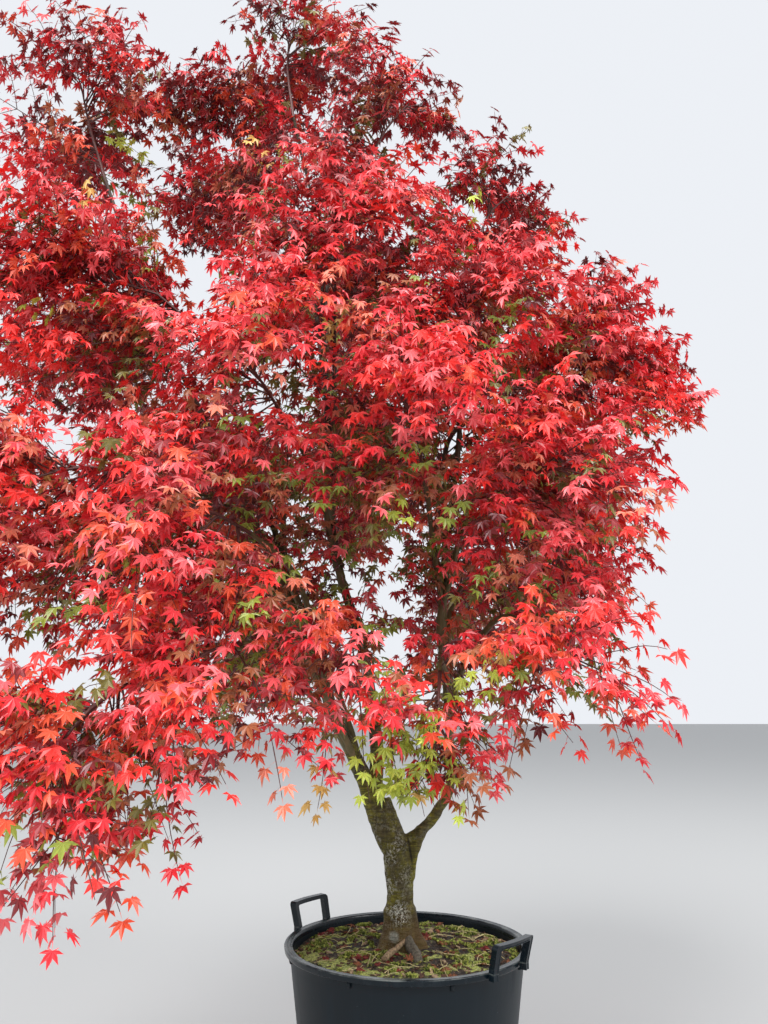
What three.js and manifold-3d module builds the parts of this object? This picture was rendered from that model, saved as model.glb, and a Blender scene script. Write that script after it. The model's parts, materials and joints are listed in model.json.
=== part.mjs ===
// A Japanese maple in autumn leaf, growing in a black nursery tub, in millimetres, +Z up.
// The origin is the middle of the tub's flat underside. +X is the tree's right and -Y its front.
//
// The tub is filled with a root ball. The trunk stands on it and forks low down into a left limb, a leader
// and a right limb, and every other bough leaves one of those three. Each bough ends where it enters a mass
// of foliage. A mass is one stem, twigs that leave it by the golden angle, side twigs on those, and a broad
// leaf at each tip, which stands for a spray of real leaves. The twigs and leaves keep to the mass's space.
import * as THREE from "three";
import { mergeVertices } from "three/addons/utils/BufferGeometryUtils.js";
import Module from "manifold-3d";

const wasm = await Module();
wasm.setup();

// The gap left between two pieces that touch
const GAP = 0.3;
const UP = new THREE.Vector3(0, 0, 1);
const GOLDEN_ANGLE = Math.PI * (3 - Math.sqrt(5));
const GOLDEN_SHARE = (Math.sqrt(5) - 1) / 2;
const NEARLY_NOTHING = 1e-4;
const NEARLY_UPRIGHT = 0.9;

// Tub
const TUB_HEIGHT = 480;
const TUB_BASE_RADIUS = 245;
const TUB_NECK_RADIUS = 310;
const TUB_LIP_RADIUS = 325;
const TUB_LIP_HEIGHT = 15;
const TUB_LIP_INNER_RADIUS = 303;
const TUB_WALL = 5;
const TUB_SIDES = 32;
const TUB_FOOT_CHAMFER = 6;
const TUB_LIP_TAPER = 2;
const TUB_LIP_CHAMFER = 4;
const TUB_MOUTH_CHAMFER = 5;

// Handles of the tub: two upright loops on the lip
const LEFT_HANDLE_AZIMUTH = 144;
const RIGHT_HANDLE_AZIMUTH = -44;
const HANDLE_WIDTH = 136;
const HANDLE_POST = 15;
const HANDLE_BAR = 10;
const HANDLE_RISE = 62;
const HANDLE_FOOT = 16;
const HANDLE_THICKNESS = 18;
const HANDLE_LEAN = 15;
const HANDLE_CORNER = 8;
const HANDLE_STEPS = 5;

// Root ball
const SOIL_HEIGHT = 463;
const SOIL_EDGE_DROP = 6;
const SOIL_EDGE_WIDTH = 12;

// Trunk, measured from the soil
const TRUNK_HEIGHT = 272;
const TRUNK_SIDES = 14;
const FLARE_LOBES = 5;
const FLARE_TURN = 0.8;
const TRUNK_PROFILE = [
  // height above the soil, radius, how far the roots stand out, sideways place of the middle
  { up: 0, radius: 61, lobes: 15, across: -13 },
  { up: 15, radius: 56, lobes: 11, across: -13 },
  { up: 40, radius: 48, lobes: 6, across: -15 },
  { up: 72, radius: 45, lobes: 3, across: -15 },
  { up: 98, radius: 41, lobes: 0, across: -15 },
  { up: 110, radius: 35.5, lobes: 0, across: -16 },
  { up: 137, radius: 35.3, lobes: 0, across: -16 },
  { up: 181, radius: 37.5, lobes: 0, across: -18 },
  { up: 219, radius: 40.3, lobes: 0, across: -21 },
  { up: TRUNK_HEIGHT, radius: 27, lobes: 0, across: -22 },
];

// Boughs
const LIMB_SIDES = 8;
const BOUGH_SIDES = 5;
const LIMB_STEPS = 10;
const BOUGH_STEPS = 4;
const BOUGH_TIP_RADIUS = 5.5;
const BOUGH_TAPER = 0.8;
const BOUGH_WANDER = 0.045;
const BOUGH_DEPTH = 0.8;
const BOUGH_PULL_OUT = 0.34;
const BOUGH_PULL_IN = 0.42;
const BOUGH_BENDS = [0.25, 0.5, 0.75];

// Foliage
const TWIG_SIDES = 3;
const STEM_SIDES = 4;
const STEM_STEPS = 2;
const STEM_TIP_RADIUS = 3.5;
const TWIG_RADIUS = 4;
const SIDE_TWIG_RADIUS = 3;
const LONGEST_TWIG = 420;
const LONGEST_SIDE_TWIG = 210;
const TWIG_LEAN = 64;
const TWIG_SAG = 0.1;
const SIDE_TWIG_SHARES = [0.36, 0.68];
const SIDE_TWIG_LEAN = 58;
const SHORTEST_TWIG = 30;
const TWIG_TRIES = 40;
const FIRST_TWIG = 0.14;
const LAST_TWIG = 0.94;
const CELL_MARGIN = 4;
const LIMB_MARGIN = 3;
const LIMB_TEST_STEPS = 24;
const TWIG_TEST_STEPS = 6;
const STEM_OVERSHOOT = 0.5;
const STEM_SAG = 0.06;
const STEM_LEAVES_AT = 0.45;
const STEM_BEND_INWARD = 0.4;
// Where the test of a twig against the limbs begins, since its root stands on its own stem
const TWIG_TEST_FROM = 0.12;
// How a twig's lean changes from the stem's foot to its tip, and how far its turn round the stem may stray
const FOOT_LEAN_SHARE = 1.1;
const LEAN_LOST_TO_TIP = 0.5;
const TWIG_SPIN_STRAY = 0.6;
const SIDE_SPIN_STRAY = 0.5;
const SHORTEST_TWIG_SHARE = 0.84;
const SHORTEST_SIDE_TWIG_SHARE = 0.75;

// Leaves
const LEAF_RADIUS = 156;
const LEAVES_IN_FULL_MASS = 10;
const LEAF_SHRINK = [1, 0.82, 0.64];
const LEAF_SPACING = 0.83;
const LEAF_WALL_ROOM = 0.45;
const LEAF_EDGE_ROOM = 0.35;
const LEAF_OUTLINE = [
  // angle from the tip of the leaf in degrees, distance from its middle as a share of its radius
  { turn: 0, reach: 1 },
  { turn: 37, reach: 0.57 },
  { turn: 78, reach: 0.94 },
  { turn: 180, reach: 0.5 },
  { turn: 282, reach: 0.94 },
  { turn: 323, reach: 0.57 },
];
const LEAF_HALF_THICKNESS = 4;
const LEAF_DROOP = 50;
const LEAST_DROOP_SHARE = 0.4;
const MOST_DROOP_SHARE = 1.6;
const LEAF_TURN = 0.9;
const SMALLEST_LEAF_SHARE = 0.7;

const CROWN_SEED = 2024;
const FIRST_MASS_SEED = 77;
const MASS_SEED_STEP = 13;

const COLOURS = {
  tub: { color: 0x17191c, roughness: 0.55, metalness: 0 },
  soil: { color: 0x4a4a22, roughness: 0.95, metalness: 0 },
  bark: { color: 0x5d5335, roughness: 0.9, metalness: 0 },
  young_bark: { color: 0x47302a, roughness: 0.8, metalness: 0 },
  crimson: { color: 0xc92b3a, roughness: 0.6, metalness: 0 },
  deep_red: { color: 0x8f1c28, roughness: 0.6, metalness: 0 },
  bronze: { color: 0xb0603c, roughness: 0.6, metalness: 0 },
};

const radians = THREE.MathUtils.degToRad;

// A repeatable stream of numbers from 0 to 1
function seededRandom(seed) {
  let state = seed >>> 0;
  return () => {
    state = (Math.imul(state, 1664525) + 1013904223) >>> 0;
    return state / 4294967296;
  };
}

// A place in the crown by azimuth from +X in degrees, distance from the trunk's axis and height
function crownPlace(azimuth, out, height) {
  const angle = radians(azimuth);
  return new THREE.Vector3(out * Math.cos(angle), out * Math.sin(angle), height);
}

function solidOf(geometry) {
  const bare = geometry.clone();
  bare.deleteAttribute("normal");
  bare.deleteAttribute("uv");
  const merged = mergeVertices(bare, NEARLY_NOTHING);
  return new wasm.Manifold(
    new wasm.Mesh({
      numProp: 3,
      vertProperties: new Float32Array(merged.attributes.position.array),
      triVerts: new Uint32Array(merged.index.array),
    }),
  );
}

function geometryOf(solid) {
  const mesh = solid.getMesh();
  const geometry = new THREE.BufferGeometry();
  geometry.setAttribute("position", new THREE.BufferAttribute(mesh.vertProperties, 3));
  geometry.setIndex(new THREE.BufferAttribute(mesh.triVerts, 1));
  geometry.computeVertexNormals();
  return geometry;
}

function largestPiece(solid) {
  const pieces = solid.decompose();
  return pieces.reduce((best, piece) => (piece.volume() > best.volume() ? piece : best));
}

// A closed skin over a list of rings that hold the same number of points. A ring of one point is a tip.
function skinOver(rings) {
  const positions = [];
  const starts = [];
  for (const ring of rings) {
    starts.push(positions.length / 3);
    for (const point of ring) positions.push(point.x, point.y, point.z);
  }
  const index = [];
  for (let r = 0; r + 1 < rings.length; r++) {
    const sides = rings[r].length;
    for (let i = 0; i < sides; i++) {
      const a = starts[r] + i;
      const b = starts[r] + ((i + 1) % sides);
      if (rings[r + 1].length === 1) {
        index.push(a, b, starts[r + 1]);
      } else {
        const c = starts[r + 1] + ((i + 1) % sides);
        const d = starts[r + 1] + i;
        index.push(a, b, c, a, c, d);
      }
    }
  }
  const last = rings.length - 1;
  const [near, far] = [starts[0], starts[last]];
  for (let i = 1; i + 1 < rings[0].length; i++) index.push(near, near + i + 1, near + i);
  for (let i = 1; i + 1 < rings[last].length; i++) index.push(far, far + i, far + i + 1);
  const geometry = new THREE.BufferGeometry();
  geometry.setAttribute("position", new THREE.Float32BufferAttribute(positions, 3));
  geometry.setIndex(index);
  return geometry;
}

// Two directions square to the given one and to each other
function sidesOf(direction) {
  const reference = Math.abs(direction.z) > NEARLY_UPRIGHT ? new THREE.Vector3(1, 0, 0) : UP;
  const across = new THREE.Vector3().crossVectors(direction, reference).normalize();
  const over = new THREE.Vector3().crossVectors(direction, across).normalize();
  return { across, over };
}

function ringAround(centre, across, over, radius, sides) {
  const ring = [];
  for (let i = 0; i < sides; i++) {
    const angle = (2 * Math.PI * i) / sides;
    ring.push(
      centre.clone()
        .addScaledVector(across, radius * Math.cos(angle))
        .addScaledVector(over, radius * Math.sin(angle)),
    );
  }
  return ring;
}

// A tapering limb along a curve. The rings turn with the curve and don't twist round it.
function limbAlong(curve, radiusAt, sides, steps, grow = 0) {
  const rings = [];
  let across = sidesOf(curve.getTangent(0)).across;
  for (let k = 0; k <= steps; k++) {
    const share = k / steps;
    const tangent = curve.getTangent(share);
    const over = new THREE.Vector3().crossVectors(tangent, across).normalize();
    across = new THREE.Vector3().crossVectors(over, tangent).normalize();
    const centre = curve.getPoint(share);
    if (k === 0) centre.addScaledVector(tangent, -grow);
    if (k === steps) centre.addScaledVector(tangent, grow);
    rings.push(ringAround(centre, across, over, radiusAt(share) + grow, sides));
  }
  return skinOver(rings);
}

function makeTub() {
  const innerBase = TUB_BASE_RADIUS - TUB_WALL;
  const profile = [
    new THREE.Vector2(0, 0),
    new THREE.Vector2(TUB_BASE_RADIUS - TUB_FOOT_CHAMFER, 0),
    new THREE.Vector2(TUB_BASE_RADIUS, TUB_FOOT_CHAMFER),
    new THREE.Vector2(TUB_NECK_RADIUS, TUB_HEIGHT - TUB_LIP_HEIGHT),
    new THREE.Vector2(TUB_LIP_RADIUS - TUB_LIP_TAPER, TUB_HEIGHT - TUB_LIP_HEIGHT),
    new THREE.Vector2(TUB_LIP_RADIUS, TUB_HEIGHT - TUB_LIP_CHAMFER),
    new THREE.Vector2(TUB_LIP_RADIUS - TUB_LIP_CHAMFER, TUB_HEIGHT),
    new THREE.Vector2(TUB_LIP_INNER_RADIUS + TUB_LIP_TAPER, TUB_HEIGHT),
    new THREE.Vector2(TUB_LIP_INNER_RADIUS - TUB_LIP_TAPER, TUB_HEIGHT - TUB_MOUTH_CHAMFER),
    new THREE.Vector2(innerBase, TUB_WALL),
    new THREE.Vector2(0, TUB_WALL),
  ];
  return new THREE.LatheGeometry(profile, TUB_SIDES).rotateX(Math.PI / 2);
}

// A handle is drawn flat as a loop on two posts, then bent round the lip and leaned outward above it.
function makeHandle() {
  const half = HANDLE_WIDTH / 2;
  const inner = half - HANDLE_POST;
  const under = HANDLE_RISE - HANDLE_BAR;
  const outline = new THREE.Shape();
  const stepsAcross = (from, to, height) => {
    for (let i = 0; i <= HANDLE_STEPS; i++) outline.lineTo(from + ((to - from) * i) / HANDLE_STEPS, height);
  };
  outline.moveTo(-half, -HANDLE_FOOT);
  outline.lineTo(-inner, -HANDLE_FOOT);
  outline.lineTo(-inner, 0);
  stepsAcross(-inner, inner, under);
  outline.lineTo(inner, 0);
  outline.lineTo(inner, -HANDLE_FOOT);
  outline.lineTo(half, -HANDLE_FOOT);
  outline.lineTo(half, 0);
  outline.lineTo(half, HANDLE_RISE - HANDLE_CORNER);
  stepsAcross(half - HANDLE_CORNER, HANDLE_CORNER - half, HANDLE_RISE);
  outline.lineTo(-half, HANDLE_RISE - HANDLE_CORNER);
  outline.lineTo(-half, 0);
  const loop = new THREE.ExtrudeGeometry(outline, { depth: HANDLE_THICKNESS, bevelEnabled: false });
  const place = loop.attributes.position;
  const lean = Math.tan(radians(HANDLE_LEAN));
  for (let i = 0; i < place.count; i++) {
    const along = place.getX(i);
    const up = place.getY(i);
    const radius = TUB_LIP_RADIUS + GAP + place.getZ(i) + Math.max(0, up) * lean;
    const angle = along / TUB_LIP_RADIUS;
    place.setXYZ(i, radius * Math.cos(angle), radius * Math.sin(angle), TUB_HEIGHT + up);
  }
  return loop;
}

function makeRootBall() {
  const mouthHeight = TUB_HEIGHT - TUB_MOUTH_CHAMFER;
  const mouthRadius = TUB_LIP_INNER_RADIUS - TUB_LIP_TAPER;
  const baseRadius = TUB_BASE_RADIUS - TUB_WALL;
  const inside = (height) =>
    THREE.MathUtils.mapLinear(height, TUB_WALL, mouthHeight, baseRadius, mouthRadius) - 2 * GAP;
  const floor = TUB_WALL + GAP;
  const edge = SOIL_HEIGHT - SOIL_EDGE_DROP;
  const profile = [
    new THREE.Vector2(0, floor),
    new THREE.Vector2(inside(floor), floor),
    new THREE.Vector2(inside(edge), edge),
    new THREE.Vector2(inside(edge) - SOIL_EDGE_WIDTH, SOIL_HEIGHT),
    new THREE.Vector2(0, SOIL_HEIGHT),
  ];
  return new THREE.LatheGeometry(profile, TUB_SIDES).rotateX(Math.PI / 2);
}

function makeTrunk(grow = 0) {
  const rings = TRUNK_PROFILE.map((level, place) => {
    const ring = [];
    const atEnd = place === 0 ? -grow : place === TRUNK_PROFILE.length - 1 ? grow : 0;
    const height = SOIL_HEIGHT + GAP + level.up + atEnd;
    for (let i = 0; i < TRUNK_SIDES; i++) {
      const angle = (2 * Math.PI * i) / TRUNK_SIDES;
      const radius = level.radius + level.lobes * Math.cos(FLARE_LOBES * angle + FLARE_TURN) + grow;
      ring.push(new THREE.Vector3(level.across + radius * Math.cos(angle), radius * Math.sin(angle), height));
    }
    return ring;
  });
  return skinOver(rings);
}

// The trunk's own line, which the limbs leave
function trunkLine() {
  const places = TRUNK_PROFILE.map((level) => new THREE.Vector3(level.across, 0, SOIL_HEIGHT + level.up));
  return new THREE.CatmullRomCurve3(places, false, "catmullrom");
}

// Sizes of a mass: how far its space reaches along X, Y and Z from its middle
const BROAD = new THREE.Vector3(440, 370, 340);
const DEEP = new THREE.Vector3(350, 400, 290);
const SHOULDER = new THREE.Vector3(340, 330, 260);
const FULL = new THREE.Vector3(300, 290, 280);
const MEDIUM = new THREE.Vector3(270, 300, 250);
const UPRIGHT = new THREE.Vector3(280, 270, 320);
const LIGHT = new THREE.Vector3(210, 200, 200);
const WEEPING = new THREE.Vector3(190, 180, 340);
const SMALL = new THREE.Vector3(150, 150, 210);

// Every bough, with the mass at its end. share is where on its parent it leaves, pitch how steeply it enters
// the mass, and via the bends of the three main limbs that the tree's look depends on.
const BOUGHS = [
  { name: "left_limb", from: "trunk", share: 0.93, radius: 38, at: crownPlace(200, 890, 2200),
    size: BROAD, pitch: 25, tint: "crimson",
    via: [[-56, 0, 745], [-93, -6, 840], [-127, -22, 915], [-212, -62, 1090], [-290, -102, 1310],
      [-430, -125, 1735]] },
  { name: "leader", from: "left_limb", share: 0.26, radius: 22, at: crownPlace(177, 400, 3370),
    size: UPRIGHT, pitch: 86, tint: "deep_red",
    via: [[-82, 10, 990], [-128, 22, 1265], [-190, 26, 1465], [-222, 24, 1650], [-245, 14, 2100],
      [-285, 8, 2640]] },
  { name: "right_limb", from: "trunk", share: 0.95, radius: 18, at: crownPlace(13, 350, 2770),
    size: MEDIUM, pitch: 65, tint: "deep_red",
    via: [[42, 2, 750], [92, 4, 806], [127, 6, 882], [122, 8, 1100], [112, 14, 1340], [165, 24, 1800],
      [222, 40, 2290]] },

  { name: "left_shoulder_back", from: "left_limb", share: 0.7, radius: 12, at: crownPlace(152, 860, 1980),
    size: BROAD, pitch: 15, tint: "crimson" },
  { name: "far_left", from: "left_limb", share: 0.62, radius: 11, at: crownPlace(211, 970, 1600),
    size: SHOULDER, pitch: -8, tint: "crimson" },
  { name: "left_middle", from: "left_limb", share: 0.52, radius: 12, at: crownPlace(231, 800, 1470),
    size: FULL, pitch: -5, tint: "crimson" },
  { name: "upper_left", from: "left_limb", share: 0.7, radius: 12, at: crownPlace(191, 1030, 2940),
    size: UPRIGHT, pitch: 74, tint: "deep_red" },
  { name: "weeping_left", from: "left_limb", share: 0.44, radius: 12, at: crownPlace(227, 960, 1030),
    size: WEEPING, pitch: -38, tint: "crimson" },
  { name: "low_left", from: "left_limb", share: 0.36, radius: 11, at: crownPlace(236, 800, 1150),
    size: LIGHT, pitch: -22, tint: "crimson" },
  { name: "back_low_left", from: "left_limb", share: 0.4, radius: 11, at: crownPlace(144, 760, 1400),
    size: DEEP, pitch: 0, tint: "bronze" },

  { name: "low_front", from: "leader", share: 0.2, radius: 9, at: crownPlace(253, 500, 1190),
    size: SMALL, pitch: -20, tint: "crimson" },
  { name: "centre_left", from: "leader", share: 0.4, radius: 12, at: crownPlace(234, 640, 1870),
    size: FULL, pitch: 22, tint: "crimson" },
  { name: "front_high", from: "leader", share: 0.56, radius: 12, at: crownPlace(243, 430, 2330),
    size: FULL, pitch: 30, tint: "crimson" },
  { name: "back_centre", from: "leader", share: 0.45, radius: 12, at: crownPlace(104, 700, 2060),
    size: BROAD, pitch: 22, tint: "crimson" },
  { name: "back_high", from: "leader", share: 0.62, radius: 11, at: crownPlace(112, 470, 2650),
    size: DEEP, pitch: 45, tint: "deep_red" },
  { name: "dome_left", from: "leader", share: 0.7, radius: 10, at: crownPlace(174, 570, 3010),
    size: DEEP, pitch: 60, tint: "deep_red" },
  { name: "dome_right", from: "leader", share: 0.74, radius: 10, at: crownPlace(223, 30, 3060),
    size: MEDIUM, pitch: 60, tint: "deep_red" },

  { name: "low_centre", from: "right_limb", share: 0.4, radius: 9, at: crownPlace(279, 420, 1050),
    size: SMALL, pitch: -50, tint: "crimson" },
  { name: "weeping_right", from: "right_limb", share: 0.46, radius: 12, at: crownPlace(305, 610, 1200),
    size: SMALL, pitch: -32, tint: "crimson" },
  { name: "right_middle", from: "right_limb", share: 0.56, radius: 12, at: crownPlace(307, 530, 1630),
    size: MEDIUM, pitch: 8, tint: "crimson" },
  { name: "centre", from: "right_limb", share: 0.6, radius: 12, at: crownPlace(269, 500, 1780),
    size: MEDIUM, pitch: 15, tint: "crimson" },
  { name: "right_low", from: "right_limb", share: 0.5, radius: 11, at: crownPlace(20, 500, 1560),
    size: MEDIUM, pitch: -5, tint: "bronze" },
  { name: "back_low_right", from: "right_limb", share: 0.48, radius: 11, at: crownPlace(60, 620, 1500),
    size: FULL, pitch: 0, tint: "bronze" },
  { name: "back_right", from: "right_limb", share: 0.62, radius: 12, at: crownPlace(48, 680, 1960),
    size: BROAD, pitch: 18, tint: "crimson" },
  { name: "right_shoulder", from: "right_limb", share: 0.66, radius: 13, at: crownPlace(349, 530, 2080),
    size: DEEP, pitch: 18, tint: "crimson" },
  { name: "front_right", from: "right_limb", share: 0.74, radius: 11, at: crownPlace(296, 400, 2120),
    size: MEDIUM, pitch: 35, tint: "crimson" },
  { name: "back_high_right", from: "right_limb", share: 0.8, radius: 10, at: crownPlace(50, 480, 2420),
    size: MEDIUM, pitch: 40, tint: "deep_red" },
];

// Works out a bough's line from its parent to where it enters its mass
function boughLine(bough, parentCurve, random) {
  const start = parentCurve.getPoint(bough.share);
  const leaving = parentCurve.getTangent(bough.share);
  const outward = bough.at.clone().sub(start).setZ(0).normalize();
  const pitch = radians(bough.pitch);
  const entering = outward.multiplyScalar(Math.cos(pitch)).addScaledVector(UP, Math.sin(pitch));
  const depth = 1 / entering.clone().divide(bough.size).length();
  const end = bough.at.clone().addScaledVector(entering, -BOUGH_DEPTH * depth);
  const points = [start];
  if (bough.via) {
    for (const place of bough.via) points.push(new THREE.Vector3(...place));
  } else {
    const span = start.distanceTo(end);
    const pull = new THREE.CubicBezierCurve3(
      start,
      start.clone().addScaledVector(leaving, BOUGH_PULL_OUT * span),
      end.clone().addScaledVector(entering, -BOUGH_PULL_IN * span),
      end,
    );
    for (const share of BOUGH_BENDS) {
      const wander = new THREE.Vector3(random() - 0.5, random() - 0.5, random() - 0.5);
      points.push(pull.getPoint(share).addScaledVector(wander, BOUGH_WANDER * span));
    }
  }
  points.push(end);
  bough.curve = new THREE.CatmullRomCurve3(points, false, "catmullrom");
  bough.entering = bough.curve.getTangent(1);
  bough.end = end;
}

function boughRadius(bough) {
  return (share) => THREE.MathUtils.lerp(bough.radius, BOUGH_TIP_RADIUS, Math.pow(share, BOUGH_TAPER));
}

function boughShape(bough, grow = 0) {
  const main = bough.via !== undefined;
  return limbAlong(
    bough.curve, boughRadius(bough), main ? LIMB_SIDES : BOUGH_SIDES, main ? LIMB_STEPS : BOUGH_STEPS, grow);
}

// How far a twig from a point inside a mass's space may run: to the space's rounded outside, or to a point
// far enough before a neighbour's wall that the leaf still fits
function reachIn(mass, from, direction) {
  const p = from.clone().sub(mass.at).divide(mass.size);
  const d = direction.clone().divide(mass.size);
  const a = d.dot(d);
  const b = 2 * p.dot(d);
  const c = p.dot(p) - 1;
  const root = b * b - 4 * a * c;
  let reach = root > 0 ? (-b + Math.sqrt(root)) / (2 * a) : 0;
  for (const wall of mass.walls) {
    const towards = direction.dot(wall.normal);
    if (towards > NEARLY_NOTHING) {
      const room = wall.constant - from.dot(wall.normal);
      reach = Math.min(reach, Math.max(0, room / towards - LEAF_WALL_ROOM * mass.leafRadius));
    }
  }
  return reach;
}

function meanSize(mass) {
  return (mass.size.x + mass.size.y + mass.size.z) / 3;
}

// The flat walls between a mass and its neighbours
function wallsOf(mass, masses) {
  const walls = [];
  for (const other of masses) {
    if (other === mass) continue;
    const apart = other.at.clone().sub(mass.at);
    const distance = apart.length();
    const normal = apart.divideScalar(distance);
    const share = (distance * distance + meanSize(mass) ** 2 - meanSize(other) ** 2) / (2 * distance);
    walls.push({ normal, constant: normal.dot(mass.at) + share - CELL_MARGIN });
  }
  return walls;
}

function insideWalls(mass, points) {
  return points.every((point) => mass.walls.every((wall) => wall.normal.dot(point) < wall.constant));
}

// Whether a straight twig stays clear of every limb
function clearOfLimbs(from, to, radius, limbs) {
  const nearest = new THREE.Vector3();
  for (let k = 0; k <= TWIG_TEST_STEPS; k++) {
    const point = from.clone().lerp(to, k / TWIG_TEST_STEPS);
    for (const limb of limbs) {
      for (let i = 0; i + 1 < limb.points.length; i++) {
        const piece = new THREE.Line3(limb.points[i], limb.points[i + 1]);
        piece.closestPointToPoint(point, true, nearest);
        const share = (i + 0.5) / (limb.points.length - 1);
        if (nearest.distanceTo(point) < limb.radiusAt(share) + radius + LIMB_MARGIN) return false;
      }
    }
  }
  return true;
}

// The stem of a mass: it goes on from the bough, over the middle of the mass and towards its far side
function stemLine(bough) {
  const start = bough.end.clone();
  const far = bough.at.clone().addScaledVector(bough.at.clone().sub(bough.end), STEM_OVERSHOOT);
  const length = start.distanceTo(far);
  far.z -= STEM_SAG * length;
  const middle = start.clone().addScaledVector(bough.entering, STEM_LEAVES_AT * length);
  middle.lerp(bough.at, STEM_BEND_INWARD);
  return new THREE.CatmullRomCurve3([start, middle, far], false, "catmullrom");
}

function twigDirection(along, spin, lean) {
  const { across, over } = sidesOf(along);
  return along.clone().multiplyScalar(Math.cos(lean))
    .addScaledVector(across, Math.sin(lean) * Math.cos(spin))
    .addScaledVector(over, Math.sin(lean) * Math.sin(spin))
    .normalize();
}

// The largest leaf that fits at a tip without leaving the mass's space or touching a limb
function fittingLeaf(mass, tip, direction, random, limbSolids) {
  const droop = random();
  const turn = random() - 0.5;
  for (const shrink of LEAF_SHRINK) {
    const leaf = leafAt(tip, direction, shrink * mass.leafRadius, droop, turn);
    if (!insideWalls(mass, leaf.outline)) continue;
    const blade = facingOut(solidOf(leafShape(leaf)));
    if (blade.intersect(limbSolids).isEmpty()) return blade;
  }
  return null;
}

// The twigs of a mass, each with the place of its root, its tip, its thickness and its leaf
function growTwigs(mass, random, limbs, limbSolids) {
  const bulk = (mass.size.x * mass.size.y * mass.size.z) / (FULL.x * FULL.y * FULL.z);
  const target = Math.round(LEAVES_IN_FULL_MASS * Math.pow(bulk, 2 / 3));
  const twigs = [];
  const stemTip = mass.stem.getPoint(1);
  const spacing = LEAF_SPACING * mass.leafRadius;
  const crowded = (place) =>
    [stemTip, ...twigs.map((twig) => twig.to)].some((tip) => tip.distanceTo(place) < spacing);
  const tryTwig = (from, direction, longest, radius, share) => {
    const room = reachIn(mass, from, direction);
    const length = Math.min(longest, room - LEAF_EDGE_ROOM * mass.leafRadius) * share;
    if (length < SHORTEST_TWIG) return null;
    const to = from.clone().addScaledVector(direction, length);
    to.z -= TWIG_SAG * length;
    if (crowded(to) || !insideWalls(mass, [to])) return null;
    if (!clearOfLimbs(from.clone().lerp(to, TWIG_TEST_FROM), to, radius, limbs)) return null;
    const heading = to.clone().sub(from).normalize();
    const blade = fittingLeaf(mass, to, heading, random, limbSolids);
    if (!blade) return null;
    const twig = { from, to, radius, direction: heading, blade };
    twigs.push(twig);
    return twig;
  };
  for (let i = 0; i < TWIG_TRIES && twigs.length < target; i++) {
    const share = FIRST_TWIG + (LAST_TWIG - FIRST_TWIG) * ((GOLDEN_SHARE * (i + 0.5)) % 1);
    const root = mass.stem.getPoint(share);
    const along = mass.stem.getTangent(share);
    const lean = radians(TWIG_LEAN * (FOOT_LEAN_SHARE - LEAN_LOST_TO_TIP * share));
    const spin = GOLDEN_ANGLE * i + TWIG_SPIN_STRAY * random();
    const outward = twigDirection(along, spin, lean);
    const size = THREE.MathUtils.lerp(SHORTEST_TWIG_SHARE, 1, random());
    const twig = tryTwig(root, outward, LONGEST_TWIG, TWIG_RADIUS, size);
    if (!twig) continue;
    SIDE_TWIG_SHARES.forEach((place, k) => {
      const sideSpin = (k ? 0 : Math.PI) + SIDE_SPIN_STRAY * (random() - 0.5);
      const side = twigDirection(twig.direction, sideSpin, radians(SIDE_TWIG_LEAN));
      const sideRoot = twig.from.clone().lerp(twig.to, place);
      const sideSize = THREE.MathUtils.lerp(SHORTEST_SIDE_TWIG_SHARE, 1, random());
      tryTwig(sideRoot, side, LONGEST_SIDE_TWIG, SIDE_TWIG_RADIUS, sideSize);
    });
  }
  return twigs;
}

// A broad lobed leaf, flat with a thicker middle, that hangs outward from the tip of its twig
function leafAt(tip, direction, radius, droopShare, turn) {
  const outward = direction.clone().setZ(0);
  if (outward.lengthSq() < NEARLY_NOTHING) outward.set(1, 0, 0);
  outward.normalize();
  const droop = radians(LEAF_DROOP * THREE.MathUtils.lerp(LEAST_DROOP_SHARE, MOST_DROOP_SHARE, droopShare));
  const level = outward.clone().applyAxisAngle(UP, LEAF_TURN * turn);
  const forward = level.clone().multiplyScalar(Math.cos(droop)).addScaledVector(UP, -Math.sin(droop));
  const across = new THREE.Vector3().crossVectors(UP, level).normalize();
  const normal = new THREE.Vector3().crossVectors(forward, across).normalize();
  const outline = LEAF_OUTLINE.map(({ turn, reach }) => tip.clone()
    .addScaledVector(forward, radius * reach * Math.cos(radians(turn)))
    .addScaledVector(across, radius * reach * Math.sin(radians(turn))));
  const top = tip.clone().addScaledVector(normal, LEAF_HALF_THICKNESS);
  const under = tip.clone().addScaledVector(normal, -LEAF_HALF_THICKNESS);
  return { outline, top, under };
}

function leafShape(leaf) {
  const positions = [leaf.top, leaf.under, ...leaf.outline].flatMap((p) => [p.x, p.y, p.z]);
  const index = [];
  const count = leaf.outline.length;
  for (let i = 0; i < count; i++) {
    const a = 2 + i;
    const b = 2 + ((i + 1) % count);
    index.push(0, a, b, 1, b, a);
  }
  const geometry = new THREE.BufferGeometry();
  geometry.setAttribute("position", new THREE.Float32BufferAttribute(positions, 3));
  geometry.setIndex(index);
  return geometry;
}

function facingOut(solid) {
  if (solid.volume() < 0) throw new Error("a piece is inside out");
  return solid;
}

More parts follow.
